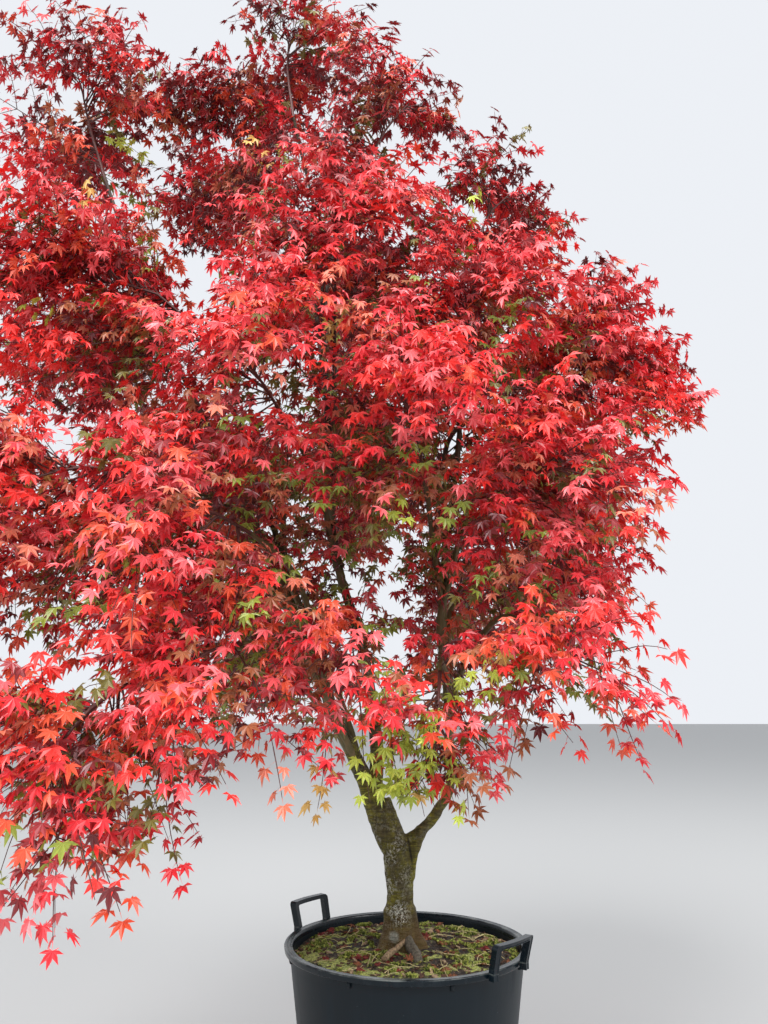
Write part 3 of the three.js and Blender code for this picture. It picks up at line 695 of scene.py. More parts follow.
def old_bark(colour):
    """Olive bark with rings, wrinkles and pale lichen, brown at the foot and dark high up."""
    nodes = Nodes("old_bark")
    height = nodes.axis(2)
    rings = nodes.noise(26, (1, 1, 5.5), 5, 0.62)
    patches = nodes.noise(17, (1, 1, 0.8), 4, 0.55)
    grain = nodes.noise(130, (1, 1, 0.45), 5, 0.6)
    streaks = nodes.noise(42, (1, 1, 0.22), 5, 0.65)
    wrinkles = nodes.noise(58, (1, 1, 4.0), 4, 0.6)
    green = nodes.mix(patches.ramp(0.36, 0.60), (*colour, 1), linear(128, 122, 32))
    # The rings, wrinkles and streaks darken where their relief is low: partly the bark's own darker
    # furrows, partly painted shade in the grooves.
    ringed = nodes.mix(rings.ramp(0.60, 0.40) * 0.6, green, linear(56, 46, 18))
    lined = nodes.mix(wrinkles.ramp(0.52, 0.38) * 0.5, ringed, linear(34, 30, 14))
    dark = nodes.mix(streaks.ramp(0.56, 0.36) * 0.5, lined, linear(36, 30, 14))
    foot = nodes.mix((1 - height.ramp(0.49, 0.60)) * 0.8, dark, linear(92, 70, 40))
    low = 1 - height.ramp(0.66, 0.79)
    left = 1 - nodes.axis(0).ramp(-0.040, 0.026)
    speckle = nodes.noise(170, (1, 1, 0.9), 6, 0.8).ramp(0.49, 0.55)
    blotch = nodes.noise(24, (1, 1, 0.8), 4, 0.6).ramp(0.43, 0.55) * height.ramp(0.515, 0.540)
    patch = 1 - nodes.away_from(LICHEN_PATCH).ramp(0.010, 0.032)
    lichen = speckle * ((0.10 + left * low * 0.90) * (0.08 + blotch * 0.92) + patch)
    pale = nodes.mix(grain.ramp(0.3, 0.7), linear(190, 188, 166), linear(236, 235, 222))
    shade = nodes.mix(lichen, foot, pale)
    knob = 1 - nodes.away_from(KNOB).ramp(0.010, 0.021)
    knobbed = nodes.mix(knob * (0.7 + speckle * 0.3), shade, linear(158, 160, 148))
    upper = nodes.mix(height.ramp(1.0, 1.9) * 0.92, knobbed, linear(44, 30, 24))
    # Painted shade: a near-black line in the crease where the right limb grows out of the trunk.
    crease_shaded = nodes.mix(fork_crease_shade(nodes, height) * 0.85, upper, linear(22, 18, 8))
    relief = rings * 0.8 + wrinkles * 0.5 + streaks * 0.6 + grain * 0.4 + lichen * 0.3
    return nodes.finish(
        Base_Color=crease_shaded,
        Roughness=0.55 + grain * 0.25,
        Specular_IOR_Level=0.3,
        Normal=nodes.bump(relief, 1.0, 0.009),
    )


def fork_crease_shade(nodes, height):
    """Where shade is painted: the slanting crease at the front of the trunk, where the right limb grows
    out of it.
    """
    aside = nodes.axis(0) + height * 0.17 - 0.1305
    narrow = 1 - (aside * aside).ramp(0.000001, 0.000016)
    front = 1 - nodes.axis(1).ramp(-0.020, -0.004)
    return narrow * height.band((0.655, 0.690), (0.735, 0.750)) * front


def young_bark(colour):
    """Thin bark with paler pores, olive-brown on the low boughs and purple-brown on the high ones."""
    nodes = Nodes("young_bark")
    streaks = nodes.noise(60, (1, 1, 0.4), 4)
    pores = 1 - nodes.cells(240, (1, 1, 0.6)).ramp(0.12, 0.22)
    high = nodes.mix(streaks.ramp(0.35, 0.7), (*colour, 1), linear(74, 52, 38))
    low = nodes.mix(streaks.ramp(0.35, 0.7), linear(86, 78, 40), linear(112, 92, 58))
    base = nodes.mix(nodes.axis(2).ramp(1.3, 2.1), low, high)
    shade = nodes.mix(pores * 0.35, base, linear(128, 108, 82))
    return nodes.finish(
        Base_Color=shade,
        Roughness=0.5 + streaks * 0.2,
        Normal=nodes.bump(streaks + pores * 0.4, 0.4, 0.001),
    )


def twig_bark(colour):
    """The reddish skin of the finest twigs, too thin to show a pattern."""
    nodes = Nodes("twig_bark")
    return nodes.finish(Base_Color=(*colour, 1), Roughness=0.5)


def leaf_skin(name, colour):
    """A leaf of one autumn tint, with the faint shine of its skin."""
    nodes = Nodes(name)
    return nodes.finish(Base_Color=colour, Roughness=0.38, Specular_IOR_Level=0.6)


def mossy_soil(colour):
    """Dark compost under cushions of yellow-green moss, most of them at the front and left."""
    nodes = Nodes("mossy_soil")
    cushions = nodes.noise(17, (1, 1, 1), 5, 0.6)
    crumbs = nodes.noise(120, (1, 1, 1), 5, 0.7)
    fibre = nodes.noise(260, (1, 1, 1), 3, 0.7)
    side = (nodes.axis(0) * 0.6 + nodes.axis(1) * 0.5).ramp(-0.20, 0.22)
    moss = nodes.mix(crumbs.ramp(0.38, 0.60), linear(74, 82, 32), linear(172, 182, 88))
    moss_lit = nodes.mix(fibre.ramp(0.50, 0.68) * 0.8, moss, linear(222, 226, 158))
    earth = nodes.mix(crumbs.ramp(0.46, 0.72), (*colour, 1), linear(104, 86, 70))
    shade = nodes.mix((cushions - 0.01 - side * 0.10).ramp(0.44, 0.51), earth, moss_lit)
    return nodes.finish(
        Base_Color=shade,
        Roughness=0.92,
        Normal=nodes.bump(crumbs + fibre * 0.6 + cushions, 0.9, 0.006),
    )


def plain_matter(name, colour, other, scale):
    """Moss, straw, chips, fallen leaves and dead wood: two tones in fine noise."""
    nodes = Nodes(name)
    grain = nodes.noise(scale, (1, 1, 1), 4, 0.6)
    return nodes.finish(
        Base_Color=nodes.mix(grain.ramp(0.35, 0.65), colour, other),
        Roughness=0.8,
        Normal=nodes.bump(grain, 0.4, 0.001),
    )


# Tub

TUB_SIDES = 192
WALL_STEPS = 24
LIP_HEIGHT = 0.0150
LUG_AZIMUTHS = range(18, 378, 45)


def tub_profile(settings):
    """The tub's section from the middle of its underside, up the wall, over the lip and down inside."""
    height = settings.height
    base = settings.base_radius
    neck = settings.neck_radius
    lip = settings.lip_radius
    under = height - LIP_HEIGHT
    points = [(0.0005, 0), (base * 0.5, 0), (base - 0.006, 0), (base - 0.002, 0.0015), (base, 0.006)]
    for step in range(1, WALL_STEPS + 1):
        share = step / WALL_STEPS
        points.append((base + (neck - base) * share, 0.006 + (under - 0.002 - 0.006) * share))
    points += [
        (neck + 0.0008, under - 0.0006), (neck + 0.0030, under), (lip - 0.0050, under),
        (lip - 0.0028, under + 0.0006), (lip - 0.0018, under + 0.0022), (lip - 0.0012, under + 0.0060),
        (lip - 0.0004, height - 0.0050), (lip, height - 0.0030), (lip - 0.0006, height - 0.0012),
        (lip - 0.0022, height - 0.0002), (lip - 0.0045, height), (lip - 0.0080, height - 0.0007),
        (lip - 0.0130, height - 0.0012), (lip - 0.0175, height - 0.0008), (lip - 0.0200, height - 0.0012),
        (lip - 0.0222, height - 0.0034), (lip - 0.0232, height - 0.0080), (lip - 0.0242, height - 0.0150),
        (lip - 0.0290, height - 0.0500), (base - 0.005, 0.02), (base - 0.008, 0.005), (0.0005, 0.005),
    ]
    return points


def make_tub(settings):
    """The tub, a little out of round as soft plastic is, with small lugs under its lip."""
    vertices, faces = lathe(tub_profile(settings), TUB_SIDES)
    angle = np.arctan2(vertices[:, 1], vertices[:, 0])
    radius = np.hypot(vertices[:, 0], vertices[:, 1])
    oval = 0.0011 * (1 + np.sin(2 * angle + 0.7))
    waves = 0.0005 * (1 + np.sin(5 * angle + vertices[:, 2] * 9))
    share = 1 - (oval + waves) / np.maximum(radius, 0.05) * (radius > 0.2)
    vertices[:, :2] *= share[:, None]
    lugs = [tub_lug(settings, azimuth) for azimuth in LUG_AZIMUTHS]
    piece = mesh_object("tub_body", *joined([(vertices, faces), *lugs]))
    finish_piece(piece, tub_plastic(settings.colour), ["tub"])


def tub_lug(settings, azimuth):
    """A small square lug under the lip, which keeps such tubs apart in a stack."""
    low = settings.height - 0.0290
    high = settings.height - 0.0145
    neck = settings.neck_radius
    corners = []
    for z in (low, high):
        for across, out in ((-0.005, -0.004), (0.005, -0.004), (0.004, 0.006), (-0.004, 0.006)):
            reach = out if z == high else min(out, 0.002)
            corners.append((neck + reach, across, z))
    corners = np.array(corners)
    turn = math.radians(azimuth)
    x = corners[:, 0] * math.cos(turn) - corners[:, 1] * math.sin(turn)
    y = corners[:, 0] * math.sin(turn) + corners[:, 1] * math.cos(turn)
    sides = [(0, 4, 5, 1), (1, 5, 6, 2), (2, 6, 7, 3), (3, 7, 4, 0)]
    faces = np.array([(0, 1, 2, 3), (4, 7, 6, 5), *sides])
    return np.stack([x, y, corners[:, 2]], axis=-1), faces


def handle_edges(settings):
    """A handle's outer and inner edge laid flat: up one post, along the bar and down the other post."""
    half = settings.handle_width / 2
    rise = settings.handle_rise
    foot = settings.handle_foot
    sizes = (
        (half, rise, 0.010),
        (half - settings.handle_post, rise - settings.handle_bar, 0.006),
    )
    edges = []
    for side, top, corner in sizes:
        points = []
        for step in range(8):
            points.append((-side, -foot + (top - corner + foot) * step / 8))
        for step in range(7):
            turn = math.radians(90 * step / 6)
            points.append((-side + corner * (1 - math.cos(turn)), top - corner * (1 - math.sin(turn))))
        for step in range(1, 8):
            points.append(((side - corner) * (step / 8 - 1), top))
        mirrored = [(-x, z) for x, z in reversed(points)]
        edges.append(np.array([*points, (0, top), *mirrored]))
    return edges


# A handle's section: its share of the way from the inner to the outer edge, and its share of the depth
HANDLE_SECTION = np.array([
    (0.00, 0.00), (1.00, 0.00), (1.00, 1.00), (0.86, 1.00),
    (0.80, 0.93), (0.20, 0.93), (0.14, 1.00), (0.00, 1.00),
])


def make_handle(settings, side, azimuth, material):
    """A loop of plastic on two posts, bent round the lip and leaned outward."""
    outer, inner = handle_edges(settings)
    share = HANDLE_SECTION[None, :, :1]
    flat = inner[:, None, :] + (outer - inner)[:, None, :] * share
    up = flat[..., 1]
    lean = math.tan(math.radians(settings.handle_lean))
    out = settings.handle_depth * HANDLE_SECTION[None, :, 1] + np.maximum(up, 0) * lean
    radius = settings.lip_radius + 0.0003 + out
    angle = flat[..., 0] / settings.lip_radius + math.radians(azimuth)
    vertices = np.stack([radius * np.cos(angle), radius * np.sin(angle), settings.height + up], axis=-1)
    rings = len(outer)
    count = len(HANDLE_SECTION)
    faces = grid_faces(rings, count)
    ends = []
    for start in (0, (rings - 1) * count):
        for step in range(1, count - 2, 2):
            ends.append((start, start + step, start + step + 1, start + step + 2))
    piece = mesh_object(f"handle_{side}", vertices, np.vstack([faces, np.array(ends)]), smooth=False)
    bevel = piece.modifiers.new("Edges", "BEVEL")
    bevel.width = 0.0011
    bevel.segments = 3
    bevel.limit_method = "ANGLE"
    apply_modifiers(piece)
    finish_piece(piece, material, [f"tub_handle_{side}"])


# Ground in the tub


def cushion(x, y):
    """Smooth noise that is high where the moss grows in cushions."""
    return noise.noise(Vector((x * 19, y * 19, 2.0)))


def soil_height(x, y):
    """The top of the compost: a low mound round the trunk with cushions of moss on it."""
    radius = math.hypot(x, y)
    mound = 0.010 * math.exp(-(radius / 0.11)**2)
    edge = -0.008 * max(0.0, (radius - 0.25) / 0.04)
    crumbs = 0.0025 * noise.noise(Vector((x * 75, y * 75, 5.0)))
    return SOIL_HEIGHT - 0.002 + mound + edge + 0.007 * cushion(x, y) + crumbs


def make_soil(settings):
    """The root ball: its rough mossy top, and the side that the tub hides."""
    top_rings = 90
    sides = 200
    top_radius = settings.radius
    rings = [(top_radius * ring / top_rings, None) for ring in range(1, top_rings + 1)]
    rings += [(top_radius - 0.008, 0.40), (0.2385, 0.0065), (0.001, 0.0065)]
    vertices = []
    for radius, level in rings:
        for side in range(sides):
            angle = FULL_TURN * side / sides
            x = radius * math.cos(angle)
            y = radius * math.sin(angle)
            vertices.append((x, y, soil_height(x, y) if level is None else level))
    piece = mesh_object("root_ball_top", np.array(vertices), grid_faces(len(rings), sides))
    finish_piece(piece, mossy_soil(settings.earth), ["root_ball"])


def scattered(count, low, high, chance):
    """Places on the compost between two distances from the trunk, with their height."""
    radius = np.sqrt(chance.uniform(low**2, high**2, count))
    angle = chance.uniform(0, FULL_TURN, count)
    x = radius * np.cos(angle)
    y = radius * np.sin(angle)
    z = np.array([soil_height(*place) for place in zip(x, y)])
    return np.stack([x, y, z], axis=-1)


MOSS_BLADES = 8


def moss_tufts(count, seed):
    """Small tufts of moss: each is a few narrow blades that stand out of one place."""
    chance = np.random.default_rng(seed)
    places = scattered(count * 3, 0.085, 0.292, chance)
    mossy = np.array([cushion(x, y) for x, y, _ in places])
    places = places[mossy > 0.12][:count]
    parts = []
    for place in places:
        size = chance.uniform(0.0025, 0.0060)
        for _ in range(MOSS_BLADES):
            spin = chance.uniform(0, FULL_TURN)
            lean = chance.uniform(0.1, 0.95)
            tip = np.array([math.cos(spin) * lean, math.sin(spin) * lean, 1.0]) * size
            side = np.array([-math.sin(spin), math.cos(spin), 0]) * size * 0.15
            root = place - UP * 0.001
            parts.append((root - side, root + side, place + tip + side * 0.4, place + tip - side * 0.4))
    vertices = np.array(parts).reshape(-1, 3)
    faces = np.arange(len(vertices)).reshape(-1, 4)
    return vertices, faces


def straws(count, seed):
    """Dead blades of grass that lie bent over the moss."""
    chance = np.random.default_rng(seed)
    middles = scattered(count, 0.10, 0.245, chance)
    lines = []
    for middle in middles:
        spin = chance.uniform(0, FULL_TURN)
        bend = chance.normal(0, 0.25)
        half = chance.uniform(0.012, 0.042)
        line = []
        for share in np.linspace(-1, 1, 7):
            x = middle[0] + half * (share * math.cos(spin) - bend * share**2 * math.sin(spin))
            y = middle[1] + half * (share * math.sin(spin) + bend * share**2 * math.cos(spin))
            line.append((x, y, soil_height(x, y) + 0.004 + 0.003 * (1 - share**2)))
        lines.append(line)
    lines = np.array(lines)
    return tubes(lines, np.full(lines.shape[:2], 0.0008), 4)


def chips(count, seed, smallest, largest):
    """Bits of bark and old leaf: flat splinters that lie on the compost."""
    chance = np.random.default_rng(seed)
    places = scattered(count, 0.075, 0.293, chance)
    vertices = []
    for place in places:
        length = chance.uniform(smallest, largest)
        width = length * chance.uniform(0.2, 0.6)
        thick = length * chance.uniform(0.08, 0.2)
        spin = chance.uniform(0, FULL_TURN)
        tilt = chance.normal(0, 0.3)
        along = np.array([math.cos(spin), math.sin(spin), tilt])
        across = np.array([-math.sin(spin), math.cos(spin), chance.normal(0, 0.3)])
        for level in (-0.3, 1.0):
            for u, v in ((-0.5, -0.4), (0.5, -0.5), (0.42, 0.5), (-0.45, 0.42)):
                flat = along * length * u + across * width * v
                vertices.append(place + flat + UP * (thick * level + 0.001))
    sides = [(0, 1, 5, 4), (1, 2, 6, 5), (2, 3, 7, 6), (3, 0, 4, 7)]
    box = np.array([(0, 3, 2, 1), (4, 5, 6, 7), *sides])
    faces = (box[None] + (np.arange(count) * 8)[:, None, None]).reshape(-1, 4)
    return np.array(vertices), faces


def fallen_leaves(count, seed):
    """Leaves that have dropped on the compost and curled."""
    chance = np.random.default_rng(seed)
    places = scattered(count, 0.07, 0.282, chance) + UP * 0.004
    heading = chance.uniform(0, FULL_TURN, count)
    forward = np.stack([np.cos(heading), np.sin(heading), chance.normal(0, 0.22, count)], axis=-1)
    roll = chance.normal(0, 0.35, count)
    size = chance.uniform(0.018, 0.028, count)
    variant = chance.integers(0, LEAF_VARIANTS, count)
    return blades_at(places, unit(forward), roll, size, variant, curl=1.7)


def make_litter(settings):
    """Everything that lies on the compost."""
    tufts = settings.tufts
    bits = settings.chips
    groups = [
        ("moss_light", moss_tufts(tufts, 11), (214, 218, 122), (166, 176, 72), 300),
        ("moss_middle", moss_tufts(tufts, 13), (150, 162, 66), (106, 120, 44), 300),
        ("moss_dark", moss_tufts(tufts, 12), (92, 104, 42), (54, 64, 26), 300),
        ("straws", straws(46, 41), (214, 202, 150), (164, 150, 102), 300),
        ("chips_brown", chips(bits, 21, 0.005, 0.016), (92, 62, 42), (52, 36, 26), 300),
        ("chips_pale", chips(bits // 4, 22, 0.006, 0.024), (178, 156, 122), (120, 96, 70), 300),
        ("fallen_red", fallen_leaves(22, 31), (134, 48, 42), (96, 34, 32), 160),
        ("fallen_brown", fallen_leaves(44, 32), (150, 92, 58), (98, 58, 40), 160),
    ]
    for name, (vertices, faces), colour, other, grain in groups:
        piece = mesh_object(name, vertices, faces, smooth=False)
        material = plain_matter(name, linear(*colour), linear(*other), grain)
        finish_piece(piece, material, ["root_ball"])


# Wood


def trunk_skin():
    """The trunk's rings, close together, with the root flare worked into them."""
    table = np.array(TRUNK_PROFILE)
    ups = np.linspace(table[0, 0], table[-1, 0], TRUNK_RINGS)
    radius, lobes, across = (np.interp(ups, table[:, 0], table[:, column]) for column in (1, 2, 3))
    angle = ring_angles(TRUNK_SIDES)
    ridge = np.cos(FLARE_LOBES * angle + FLARE_TURN)
    reach = radius[:, None] + lobes[:, None] * ridge[None]
    x = across[:, None] + reach * np.cos(angle)
    y = reach * np.sin(angle)
    z = np.broadcast_to((SOIL_HEIGHT + ups)[:, None], x.shape)
    vertices = np.stack([x, y, z], axis=-1).reshape(-1, 3)
    return closed_tube(vertices, TRUNK_RINGS, TRUNK_SIDES)


def closed_tube(vertices, rings, sides):
    """A tube with its ends closed: its points, its sides and the triangles at each end."""
    last = (rings - 1) * sides
    count = len(vertices)
    middles = np.array([vertices[:sides].mean(axis=0), vertices[last:].mean(axis=0)])
    step = np.arange(sides)
    beside = (step + 1) % sides
    low = np.stack([np.full(sides, count), beside, step], axis=-1)
    high = np.stack([np.full(sides, count + 1), last + step, last + beside], axis=-1)
    return np.vstack([vertices, middles]), grid_faces(rings, sides), low, high


def round_skin(line, radius, sides):
    """A closed tube round one line of points."""
    vertices, _ = tubes(line[None], radius[None], sides)
    return closed_tube(vertices, len(line), sides)


def limb_skin(bough):
    """A main limb as a closed tube, with a collar where it leaves its parent."""
    share = np.linspace(0, 1, LIMB_RINGS)
    collar = 1 + 0.30 * np.exp(-share / 0.018)
    return round_skin(bough.line.at(share), bough_radius(bough, share) * collar, LIMB_SIDES)


def stub_skin(start, end, first, last):
    """A short straight piece of wood, a ridge or a stub, as a closed tube."""
    share = np.linspace(0, 1, 12)[:, None]
    line = np.array(start) + (np.array(end) - np.array(start)) * share
    return round_skin(line, first + (last - first) * share[:, 0], 16)


def solid_mesh(name, skins):
    """One mesh of several closed tubes, which still overlap."""
    mesh = bpy.data.meshes.new(name)
    vertices = []
    faces = []
    start = 0
    for points, quads, low, high in skins:
        vertices.extend(map(tuple, points))
        for group in (quads, low, high):
            faces.extend(tuple(int(corner) + start for corner in face) for face in group)
        start += len(points)
    mesh.from_pydata(vertices, [], faces)
    mesh.update()
    return add_object(name, mesh)


# Swellings on the old wood: place, how far they stand out and how wide they are. The last five go inward
# and part the right limb's foot from the trunk.
BURLS = (
    ((-0.058, -0.020, 0.556), 0.0085, 0.015),
    (KNOB, 0.0150, 0.013),
    ((0.020, -0.036, 0.558), 0.0060, 0.018),
    ((-0.052, -0.010, 0.640), 0.0030, 0.016),
    ((-0.095, -0.034, 0.850), 0.0110, 0.028),
    ((-0.128, -0.050, 0.905), 0.0080, 0.024),
    ((-0.060, -0.030, 0.800), 0.0060, 0.020),
    ((0.112, -0.010, 0.835), 0.0045, 0.016),
    ((-0.130, 0.000, 1.130), 0.0040, 0.020),
    ((0.122, 0.000, 1.000), 0.0040, 0.018),
    ((0.0040, -0.032, 0.7420), -0.0090, 0.008),
    ((0.0065, -0.032, 0.7270), -0.0090, 0.008),
    ((0.0095, -0.032, 0.7100), -0.0085, 0.008),
    ((0.0120, -0.032, 0.6940), -0.0070, 0.008),
    ((0.0145, -0.032, 0.6790), -0.0050, 0.008),
)

# Ridges of wood where the limbs grow together: start, end and their radii
RIDGES = (
    ((0.012, -0.012, 0.630), (0.020, -0.004, 0.715), 0.0110, 0.0170),
    ((0.020, -0.004, 0.700), (0.046, 0.002, 0.758), 0.0170, 0.0165),
    ((-0.016, -0.006, 0.700), (-0.058, -0.002, 0.835), 0.0300, 0.0160),
    ((-0.070, 0.000, 0.760), (-0.086, 0.004, 0.900), 0.0240, 0.0170),
)


def bark_relief(piece, wave, lump, burls=()):
    """Moves a limb's skin in and out: long hollows, rings of wrinkles, small lumps and burls."""
    places = vertex_array(piece)
    normals = normal_array(piece)
    stretched = places * np.array([1, 1, 0.35])
    ringed = places * np.array([0.5, 0.5, 3.0])
    shift = wave * rumple(stretched, 26, 1)
    shift += lump * rumple(places, 60, 2)
    shift += lump * 0.7 * rumple(ringed, 30, 3)
    for place, height, width in burls:
        away = np.linalg.norm(places - np.array(place), axis=1)
        shift += height * np.exp(-(away / width)**2)
    move_vertices(piece, places + normals * shift[:, None])


def make_main_wood(boughs, settings):
    """The trunk and the three main limbs, grown together into one skin."""
    limbs = [bough for bough in boughs if bough.bends]
    skins = [trunk_skin()]
    skins.extend(limb_skin(limb) for limb in limbs)
    skins.extend(stub_skin(*ridge) for ridge in RIDGES)
    piece = solid_mesh("trunk_and_limbs", skins)
    remesh = piece.modifiers.new("Fuse", "REMESH")
    remesh.mode = "VOXEL"
    remesh.voxel_size = settings.wood_detail
    smooth = piece.modifiers.new("Soften", "SMOOTH")
    smooth.factor = 0.5
    smooth.iterations = 5
    apply_modifiers(piece)
    bark_relief(piece, 0.0030, 0.0013, BURLS)
    shade_smooth(piece)
    nodes = ["trunk", *(f"bough_{limb.name}" for limb in limbs)]
    finish_piece(piece, old_bark(settings.bark), nodes)


# Two dead stubs at the trunk's foot, the pale one freshly broken: start, end, their radii and two tones
STUBS = (
    ("stub_pale", ((-0.002, -0.046, 0.493), (-0.060, -0.138, 0.472), 0.0062, 0.0076),
     (158, 134, 102), (98, 80, 58)),
    ("stub_grey", ((0.002, -0.044, 0.488), (0.028, -0.134, 0.467), 0.0150, 0.0125),
     (104, 98, 84), (62, 57, 46)),
)


def make_stubs():
    """The dead stubs."""
    for name, shape, colour, other in STUBS:
        piece = solid_mesh(name, [stub_skin(*shape)])
        bark_relief(piece, 0.0034, 0.0020)
        shade_smooth(piece)
        finish_piece(piece, plain_matter(name, linear(*colour), linear(*other), 150), ["trunk"])


def make_side_boughs(boughs, settings):
    """The side boughs, each a tapering limb with a collar at its root and swollen joints."""
    sides = [bough for bough in boughs if not bough.bends]
    share = np.linspace(0, 1, BOUGH_RINGS)
    lines = np.stack([bough.line.at(share) for bough in sides])
    collar = 1 + 0.5 * np.exp(-share / 0.03)
    joints = 1 + 0.07 * np.maximum(0, np.cos(share * FULL_TURN * 6))**6
    radii = np.stack([bough_radius(bough, share) * collar * joints for bough in sides])
    piece = mesh_object("side_boughs", *tubes(lines, radii, BOUGH_SIDES))
    bark_relief(piece, 0.0008, 0.0005)
    nodes = [f"bough_{bough.name}" for bough in sides]
    finish_piece(piece, young_bark(settings.young_bark), nodes)


# Leaves

LEAF_VARIANTS = 10
STALK_RADIUS = 0.0008
# Angle of each lobe from the middle one, its length, and how far out its widest place is
LEAF_LOBES = ((-118, 0.40), (-77, 0.74), (-38, 0.94), (0, 1.0), (38, 0.94), (77, 0.74), (118, 0.40))
LEAF_LOBE_WIDTH = 0.155
LEAF_SHOULDER = 0.52
LEAF_NOTCHES = (0.23, 0.35, 0.41, 0.41, 0.35, 0.23)


def polar(angle, reach, height):
    """A point of a leaf by its angle from the middle lobe."""
    turn = math.radians(angle)
    return (math.sin(turn) * reach, math.cos(turn) * reach, height)


def leaf_variant(chance):
    """The middle and outline of a leaf of unit length: five full lobes and two small ones."""
    droop = chance.uniform(0.04, 0.30)
    channel = chance.uniform(0.03, 0.10)
    points = [(0, 0, 0)]
    width = math.degrees(math.atan(LEAF_LOBE_WIDTH / LEAF_SHOULDER))
    for place, (angle, length) in enumerate(LEAF_LOBES):
        angle += chance.normal(0, 3)
        length *= 1 + chance.normal(0, 0.05)
        tip = polar(angle, length, -droop * length**2)
        if length < 0.5:
            points.append(tip)
        else:
            reach = length * LEAF_SHOULDER
            height = channel - droop * reach**2
            points += [polar(angle - width, reach, height), tip, polar(angle + width, reach, height)]
        if place < len(LEAF_NOTCHES):
            between = (angle + LEAF_LOBES[place + 1][0]) / 2
            points.append(polar(between, LEAF_NOTCHES[place], 0.015))
    return np.array(points)


def leaf_variants():
    """Several leaves that differ a little, with the same number of points."""
    chance = np.random.default_rng(SHAPE_SEED)
    return np.stack([leaf_variant(chance) for _ in range(LEAF_VARIANTS)])


LEAF_SHAPES = leaf_variants()


def blade_points(centres, forward, roll, size, variant, curl=1.0):
    """The points of many leaves, from the place, heading, roll and size of each."""
    across = unit(np.cross(forward, UP))
    normal = np.cross(across, forward)
    turned = across * np.cos(roll)[:, None] + normal * np.sin(roll)[:, None]
    face = np.cross(turned, forward)
    shapes = LEAF_SHAPES[variant] * np.array([1, 1, curl]) * size[:, None, None]
    return (
        centres[:, None, :]
        + shapes[..., 0:1] * turned[:, None, :]
        + shapes[..., 1:2] * forward[:, None, :]
        + shapes[..., 2:3] * face[:, None, :]
    )


def fan_faces(count, points, stride):
    """Triangles from the first point of each leaf to each side of its outline."""
    step = np.arange(1, points - 1)
    fan = np.stack([np.zeros_like(step), step + 1, step], axis=-1)
    return (fan[None] + (np.arange(count) * stride)[:, None, None]).reshape(-1, 3)


def blades_at(centres, forward, roll, size, variant, curl):
    """Leaves without stalks, as points and triangles."""
    points = blade_points(centres, forward, roll, size, variant, curl)
    count, per_leaf = points.shape[:2]
    return points.reshape(-1, 3), fan_faces(count, per_leaf, per_leaf)


def leaves_with_stalks(roots, centres, forward, roll, size, variant):
    """Leaves, each on a thin stalk from its twig."""
    blades = blade_points(centres, forward, roll, size, variant)
    count, per_leaf = blades.shape[:2]
    direction = unit(centres - roots)
    across = unit(np.cross(direction, UP + 0.01)) * STALK_RADIUS
    stalk = np.stack([roots + across, roots - across], axis=1)
    points = np.concatenate([blades, stalk], axis=1)
    stride = per_leaf + 2
    stalks = np.array([0, per_leaf, per_leaf + 1]) + (np.arange(count) * stride)[:, None]
    return points.reshape(-1, 3), np.vstack([fan_faces(count, per_leaf, stride), stalks])


# Foliage


class Tint:
    """One autumn colour, and how common it is outside, inside, at the top, low down and by the fork."""

    def __init__(self, name, slot, colour, outside, inside, top, low, fork=0):
        self.name = name
        self.slot = slot
        self.colour = linear(*colour)
        self.shares = (outside, inside, top, low, fork)


def all_tints():
    """The autumn tints from the brightest of the outside to the last greens of the inside."""
    return [
        Tint("scarlet", "leaves_crimson", (236, 54, 48), 20, 3, 4, 19, 3),
        Tint("crimson", "leaves_crimson", (218, 44, 52), 25, 6, 18, 19, 3),
        Tint("rose", "leaves_crimson", (232, 92, 96), 15, 2, 4, 16),
        Tint("ruby", "leaves_deep_red", (188, 38, 44), 14, 9, 24, 8),
        Tint("wine", "leaves_deep_red", (140, 34, 38), 5, 9, 28, 3),
        Tint("maroon", "leaves_deep_red", (104, 34, 36), 1, 6, 15, 1),
        Tint("vermilion", "leaves_crimson", (216, 80, 50), 9, 9, 4, 12),
        Tint("salmon", "leaves_bronze", (210, 112, 86), 4, 10, 1, 5),
        Tint("bronze", "leaves_bronze", (158, 90, 56), 2, 17, 4, 5),
        Tint("olive", "leaves_bronze", (118, 108, 48), 1, 15, 3, 3),
        Tint("leaf_green", "leaves_bronze", (140, 150, 58), 0.3, 9, 0.5, 1.5),
        Tint("lime", "leaves_bronze", (184, 196, 76), 0, 0.6, 0, 0.2, 12),
        Tint("gold", "leaves_bronze", (206, 164, 88), 0.2, 1.5, 0, 0.4),
    ]


class Sprays:
    """Collects twigs and leaves as they grow."""

    def __init__(self, settings):
        self.settings = settings
        self.lines = []
        self.radii = []
        self.roots = []
        self.centres = []
        self.forwards = []
        self.rolls = []
        self.sizes = []
        self.tints = []

    def add_twigs(self, lines, first, last):
        """Keeps twigs that taper from one radius to another."""
        share = np.linspace(0, 1, lines.shape[1])
        self.lines.append(lines)
        self.radii.append(first[:, None] + (last - first)[:, None] * share)

    def add_leaves(self, roots, headings, tint, chance):
        """Puts a leaf at each root, on a stalk that points along its heading."""
        count = len(roots)
        settings = self.settings
        size = settings.leaf_size * chance.uniform(0.78, 1.18, count)
        stalk = size * chance.uniform(0.45, 0.85, count)
        rise = chance.normal(0.05, 0.22, count)
        direction = unit(headings + UP * rise[:, None])
        centres = roots + direction * stalk[:, None]
        outward = (centres - CROWN_AXIS) * LEVEL
        stray = chance.normal(0, 0.35, (count, 3)) * LEVEL
        facing = unit(unit(headings * LEVEL) * 0.8 + unit(outward) * 0.75 + stray)
        droop = np.clip(chance.normal(math.radians(settings.droop), 0.34, count), -0.1, 1.45)
        forward = facing * np.cos(droop)[:, None] - UP * np.sin(droop)[:, None]
        self.roots.append(roots)
        self.centres.append(centres)
        self.forwards.append(unit(forward))
        self.rolls.append(chance.normal(0, 0.42, count))
        self.sizes.append(size)
        self.tints.append(tint)


